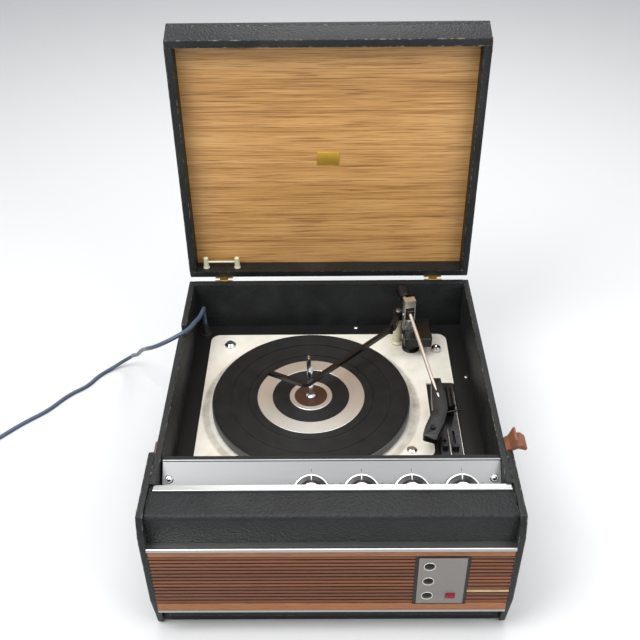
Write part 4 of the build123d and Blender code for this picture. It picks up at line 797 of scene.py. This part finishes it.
def make_materials():
    """Every finish on the player, each with a comment on what it gives the eye."""
    oak = [(0.36, "#8d6334"), (0.46, "#b5854b"), (0.54, "#c8975a"), (0.66, "#d3a76c")]
    teak = [(0.30, "#6b4019"), (0.45, "#95592a"), (0.60, "#a2652d"), (0.75, "#b47a3c")]
    brown = [(0.30, "#4c2a18"), (0.45, "#744428"), (0.60, "#854f2f"), (0.75, "#9c6540")]
    pale = [(0.30, "#a98a5f"), (0.45, "#c8a878"), (0.60, "#cfb286"), (0.75, "#d9c097")]
    ply = [(0.3, "#7c5a36"), (0.6, "#a07a4c"), (0.8, "#b48f60")]
    return {
        # A dark cover with pebble glints, and pale grey scuffs along the edges, partly wear and partly a
        # painted highlight
        "leathercloth": leathercloth(),
        # Long golden streaks with dark lines across the whole lid
        "oak_print": wood("oak_lining_veneer", oak, 1.9, 110.0, 0.42, 0.15, "#7a4f2b"),
        # Warm red-brown rails with a low oil sheen
        "teak": wood("oiled_teak", teak, 1.1, 40.0, 0.42),
        # Darker bars, each a little different from the next
        "brown_wood": wood("stained_grille_bars", brown, 0.9, 45.0, 0.45),
        # One light bar that stands out from the rest
        "pale_wood": wood("bleached_grille_bar", pale, 0.9, 45.0, 0.45),
        # Thin matt lines on the bright panel
        "ink": plain("black_printing_ink", "#1b1a19", 0.6),
        # Soft bright rings and caps on the knobs and sockets, and strips beside the levers
        "silver": plain("satin_aluminium", "#d3d2cf", 0.36, 1.0, speck_mm=1.0, depth_mm=0.01),
        # Dry brown board behind the cloth
        "raw_board": wood("raw_plywood", ply, 2.5, 50.0, 0.8),
        # A deep red-brown dark between the bars; its threads are drawn coarser than real ones to show
        "dark_cloth": plain("woven_grille_cloth", "#2a0f0b", 0.9, speck_mm=0.8, depth_mm=0.3),
        # Long thin highlights along the strips
        "bright_trim": brushed("rolled_bright_aluminium", "#adaead", 0.3),
        # A calm grey sheen along the panel
        "panel": brushed("anodised_panel_aluminium", "#8e8f90", 0.4),
        # The pale plate that the eye goes to, with painted shade in its groove
        "cream_paint": cream_enamel(),
        # A dull black that makes the deck under the plate recede
        "deck_black": plain("black_deck_paint", "#121212", 0.5, Specular_IOR_Level=0.25),
        # Small sharp reflections on the screws, the spindle and the head's lift
        "chrome": plain("bright_chrome_plate", "#c9c9cb", 0.14, 1.0, speck_mm=4.0, depth_mm=0.01),
        # A soft bright glow on the arm's saddle
        "satin_chrome": plain("satin_chrome_plate", "#d3d2cf", 0.36, 1.0, speck_mm=1.0, depth_mm=0.01),
        # A warm, slightly dulled line of light along the arm
        "tube": plain("nickel_plated_tube", "#dccfc3", 0.42, 1.0, speck_mm=4.0, depth_mm=0.01),
        # Grey metal with a soft, plain shine
        "steel": plain("drawn_steel", "#8f8f8f", 0.35, 1.0),
        # An even dark rim under the mat
        "platter_paint": plain("grey_platter_paint", "#4a4a4a", 0.4),
        # Two bright rings that open into cones of light
        "spun": spun_aluminium(),
        # A black field with faint rings
        "mat": ribbed_rubber(),
        # A brown printed middle with a slight gloss
        "disc": plain("printed_centre_disc", "#3a2217", 0.4),
        # Deep black with clear highlights, faintly mottled
        "bakelite": plain("black_moulded_bakelite", "#0d0d0e", 0.28, speck_mm=1.2, spread="#161616",
                          share=0.5, Specular_IOR_Level=0.35),
        # Black with only a faint, wide highlight
        "matt_black": plain("matt_black_plastic", "#181818", 0.55),
        # Small yellowed pieces that stand out from the black
        "cream_plastic": plain("cream_moulded_plastic", "#cfcbab", 0.35),
        # Pale yellow metal, softly bright under its lacquer
        "brass": plain("lacquered_brass", "#c7ac6f", 0.42, 1.0),
        # A warm yellow gleam in the middle of the lid
        "gold": plain("gilt_plate", "#dcb24a", 0.38, 1.0, speck_mm=0.8, depth_mm=0.01),
        # A warm grey sheen round the sockets
        "socket_plate": brushed("satin_socket_plate", "#8a8682", 0.42),
        # A glossy spot of deep red
        "jewel": plain("red_jewel_plastic", "#7d0910", 0.2, Specular_IOR_Level=0.3),
        # A smooth blue-grey line with a soft highlight
        "pvc_cord": plain("blue_grey_pvc_cord", "#3f4c61", 0.38, speck_mm=3.0, depth_mm=0.03),
        # Dull black with hardly any highlight
        "rubber": plain("black_rubber", "#1a1a1a", 0.7),
        # Brown hide, darkened in patches by handling
        "tan_leather": plain("worn_tan_leather", "#7a4a30", 0.6, speck_mm=1.0, depth_mm=0.3,
                             spread="#4a2a1c", share=0.7),
        # Plain grey boxes and frames inside the case
        "grey_steel": plain("grey_painted_steel", "#55565a", 0.45),
        # A soft black with no gloss
        "paper": plain("black_paper_cone", "#1d1b1a", 0.9),
    }


# The nodes that stay in view as they are, by finish
NODE_MATERIAL = {
    "raw_board": ("baffle_board",),
    "deck_black": ("motor_board", "base_board", "inner_framing"),
    "rubber": ("idler_wheel",),
    "dark_cloth": ("speaker_cloth",),
    "grey_steel": ("speaker_frame", "amplifier"),
    "paper": ("speaker_cone",),
    "jewel": ("pilot_jewel",),
    "steel": ("motor",),
    "matt_black": ("mains_plug",),
    "brass": ("motor_pulley",),
    "oak_print": ("lid_lining",),
}

# The nodes that only get smooth round faces, by finish
SMOOTH = {
    "panel": ("control_panel",),
    "cream_paint": ("unit_plate",),
    "bright_trim": ("trim_strips",),
    "bakelite": ("escutcheon", "arm_pillar", "counterweight", "overarm"),
    "chrome": ("spindle", "deck_mountings", "panel_screws"),
    "satin_chrome": ("arm_saddle",),
    "tube": ("arm_tube",),
    "cream_plastic": ("overarm_sleeve", "cartridge", "spindle_clip"),
    "spun": ("mat_rings",),
    "mat": ("platter_mat",),
    "platter_paint": ("platter",),
    "disc": ("centre_disc",),
    "matt_black": ("speed_lever", "start_lever"),
    "brass": ("cabinet_hinges", "lid_hinges"),
    "rubber": ("feet", "cord_grommet"),
    "steel": ("overarm_stem",),
}

BOARDS = ("left_side", "right_side", "rear_panel", "side_cheeks", "front_fascia", "plinth", "lid_frame",
          "lid_panel")


def dress_nodes():
    """Give every CAD node that stays in view its finish."""
    for finish, names in NODE_MATERIAL.items():
        for name in names:
            mesh = node[name].data
            mesh.materials.clear()
            mesh.materials.append(materials[finish])


# Pieces with more detail than the CAD nodes

def make_boards():
    """The leathercloth boards, their edges eased by the cloth and marked for pale scuffs, partly wear and
    partly a painted highlight.
    """
    for name in BOARDS:
        refined(name, "leathercloth", BOARD_EASE)


def make_smooth_nodes():
    """Nodes in their own shape with smooth round faces, and three with eased edges and metal fastenings."""
    for finish, names in SMOOTH.items():
        for name in names:
            refined(name, finish)
    refined("headshell", ("bakelite", "chrome"), HEAD_EASE, HEAD_METAL_SIZE)
    refined("side_fittings", ("tan_leather", "brass"), STRAP_EASE, STRAP_METAL_SIZE)
    refined("lid_fittings", ("tan_leather", "brass"), LID_FITTING_EASE, LID_METAL_SIZE)


def make_grille():
    """Two rails and the stacked bars between them, with one pale bar right of the sockets."""
    left, right = SOCKET_FRAME_X
    depth = (-CLOTH_Y, -RIB_FRONT_Y)
    bm = bmesh.new()
    lower = [(-SIDE_X, LOWER_RAIL_Z), (SIDE_X, LOWER_RAIL_Z), (SIDE_X, RIBS_Z), (right, RIBS_Z),
             (right, SOCKET_FRAME_Z), (left, SOCKET_FRAME_Z), (left, RIBS_Z), (-SIDE_X, RIBS_Z)]
    low, high = UPPER_RAIL_Z
    upper = [(-SIDE_X, low), (SIDE_X, low), (SIDE_X, high), (-SIDE_X, high)]
    for outline in (lower, upper):
        prism(bm, outline, depth, facing_front(0, 0, 0), BOARD_EASE)
    show("grille_rails", from_bm("grille_rails", bm), "teak", stands_for=("grille",))

    # Each group's ends, lowest row, number of bars, finish and the seed of its tones
    tree = rib_tree()
    groups = {
        "left_bars": (-SIDE_X, left, 0, RIB_COUNT, "brown_wood", 3),
        "right_low_bars": (right, SIDE_X, 0, PALE_RIB_ROW, "brown_wood", 11),
        "pale_bar": (right, SIDE_X, PALE_RIB_ROW, 1, "pale_wood", 1),
        "right_high_bars": (right, SIDE_X, PALE_RIB_ROW + 1, RIB_COUNT - PALE_RIB_ROW - 1, "brown_wood", 7),
    }
    for name, (start, end, row, count, finish, seed) in groups.items():
        z = RIBS_Z + (row + 0.5) * RIB_PITCH
        y = (CLOTH_Y + RIB_FRONT_Y) / 2
        values = {
            "Start": at(start, y, z), "End": at(end, y, z), "Pitch": (0.0, 0.0, RIB_PITCH * MM),
            "Count": count, "Height": RIB_H * MM, "Depth": (CLOTH_Y - RIB_FRONT_Y) * MM,
            "Round": RIB_ROUND * MM, "Seed": seed, "Material": materials[finish],
        }
        mesh = grown(name, tree, values)
        smooth(mesh)
        show(name, mesh, finish, stands_for=("grille",))


def make_sockets():
    """Three bright socket shells in the plate, with black contact blocks set deep in them."""
    refined("socket_plate", "socket_plate", SOCKET_PLATE_EASE)
    refined("socket_moulding", "bakelite")
    shells = bmesh.new()
    contacts = bmesh.new()
    outer = SOCKET_R - SHELL_PLAY
    inner = outer - SHELL_WALL
    shell = [(outer, SHELL_DEPTH), (outer, 0.1), (outer + 0.7, 0.15), (outer + 0.7, SHELL_RIM - 0.25),
             (outer + 0.5, SHELL_RIM), (inner + 0.25, SHELL_RIM), (inner, SHELL_RIM - 0.25),
             (inner, SHELL_DEPTH)]
    back, face = CONTACT_DEPTH
    contact = [(0, back), (CONTACT_R, back), (CONTACT_R, face - 0.4), (CONTACT_R - 0.4, face), (0, face)]
    for z in SOCKET_Z:
        place = facing_front(SOCKET_X, SOCKET_FACE_Y, z)
        closed_lathe(shells, shell, place, FINE_RING)
        lathe(contacts, contact, place, FINE_RING)
    show("socket_shells", from_bm("socket_shells", shells), "silver")
    show("socket_contacts", from_bm("socket_contacts", contacts), "matt_black")


def on_panel(x, down):
    """A place on the sloping panel whose Z stands out of it and whose Y runs up the slope."""
    y = PANEL_BACK_Y - down * math.cos(PANEL_SLOPE)
    z = PANEL_BACK_Z - down * math.sin(PANEL_SLOPE)
    return Matrix.Translation(at(x, y, z)) @ Matrix.Rotation(PANEL_SLOPE, 4, "X")


def fluted(r, z, a):
    """The knob's radius at an angle, drawn in at each flute of the grip, and as it was elsewhere."""
    if z < GRIP_FOOT or r < FLUTES_END_R:
        return r
    return r - FLUTE_DEPTH * max(0.0, math.cos(FLUTES * a)) ** 2


def make_knobs():
    """Four knobs: a fluted black grip on a skirt, with a bright ring, a bright cap and a pointer line."""
    skirt = [(0, KNOB_FOOT), (KNOB_R - 0.4, KNOB_FOOT), (KNOB_R, 1.1), (KNOB_R, 4.6), (KNOB_R - 0.3, 5.0),
             (20.5, 5.55), (15.5, 5.8), (14.9, 6.2)]
    grip = [(GRIP_R, 6.8), (14.2, 10.6), (13.6, 11.5), (12.4, KNOB_TOP - 0.05), (0, KNOB_TOP)]
    ring = [(20.4, 5.5), (21.75, 5.0), (21.9, 5.25), (20.5, 5.8)]
    cap = [(0, KNOB_TOP - 0.1), (CAP_R - 0.2, KNOB_TOP - 0.1), (CAP_R, KNOB_TOP),
           (CAP_R - 0.2, KNOB_TOP + 0.09), (0, KNOB_TOP + 0.1)]
    pointer_x = (-POINTER_HALF_WIDTH, POINTER_HALF_WIDTH)
    for name, x in KNOB_X.items():
        place = on_panel(x, KNOB_DOWN)
        bm = bmesh.new()
        lathe(bm, skirt + grip, place, FLUTED_RING, 0, fluted)
        closed_lathe(bm, ring, place, WIDE_RING, 1)
        lathe(bm, cap, place, WIDE_RING, 1)
        block(bm, pointer_x, POINTER_R, POINTER_Z, place, POINTER_EASE, 1)
        show(name + "_knob", from_bm(name + "_knob", bm), ("bakelite", "silver"), name, ("knob_" + name,))


def make_panel_print():
    """Three plain tick lines round each knob."""
    bm = bmesh.new()
    for x in KNOB_X.values():
        for turn in TICK_TURNS:
            place = on_panel(x, KNOB_DOWN) @ Matrix.Rotation(math.radians(turn), 4, "Z")
            block(bm, TICK_R, (-TICK_HALF_WIDTH, TICK_HALF_WIDTH), TICK_Z, place)
    show("panel_print", from_bm("panel_print", bm), "ink")


def make_lever_strips():
    """The bright guide strips of the two levers on the escutcheon."""
    bm = bmesh.new()
    for x, y in LEVER_STRIPS:
        block(bm, x, y, LEVER_STRIP_Z, None, LEVER_STRIP_EASE)
    show("lever_strips", from_bm("lever_strips", bm), "silver")


def make_arm_ferrule():
    """The bright ferrule where the arm's tube enters the head."""
    root = at(*ARM_ROOT)
    tip = at(*ARM_TIP)
    along = (root - tip).normalized()
    place = Matrix.Translation(tip) @ along.to_track_quat("Z", "Y").to_matrix().to_4x4()
    inner, outer = FERRULE_R
    start, end = FERRULE_SPAN
    shape = [(inner, start), (outer - 0.2, start), (outer, start + 0.4), (outer, end - 1.0),
             (outer - 0.2, end - 0.4), (inner, end)]
    bm = bmesh.new()
    closed_lathe(bm, shape, place, FINE_RING)
    show("arm_ferrule", from_bm("arm_ferrule", bm), "tube", "arm")


def make_lid_plate():
    """A plain gilt plate in the middle of the lid's lining."""
    half_width, half_height = LID_PLATE_HALF
    front, back = LID_PLATE_PROUD
    bm = bmesh.new()
    block(bm, (-half_width, half_width), (LINING_Y - front, LINING_Y - back),
          (LID_PLATE_Z - half_height, LID_PLATE_Z + half_height), None, LID_PLATE_EASE)
    show("lid_plate", from_bm("lid_plate", bm), "gold", "lid")


make_camera()
make_studio()
materials = make_materials()
make_lead()
dress_nodes()
make_boards()
make_grille()
make_sockets()
make_knobs()
make_panel_print()
make_lever_strips()
make_arm_ferrule()
make_lid_plate()
make_smooth_nodes()
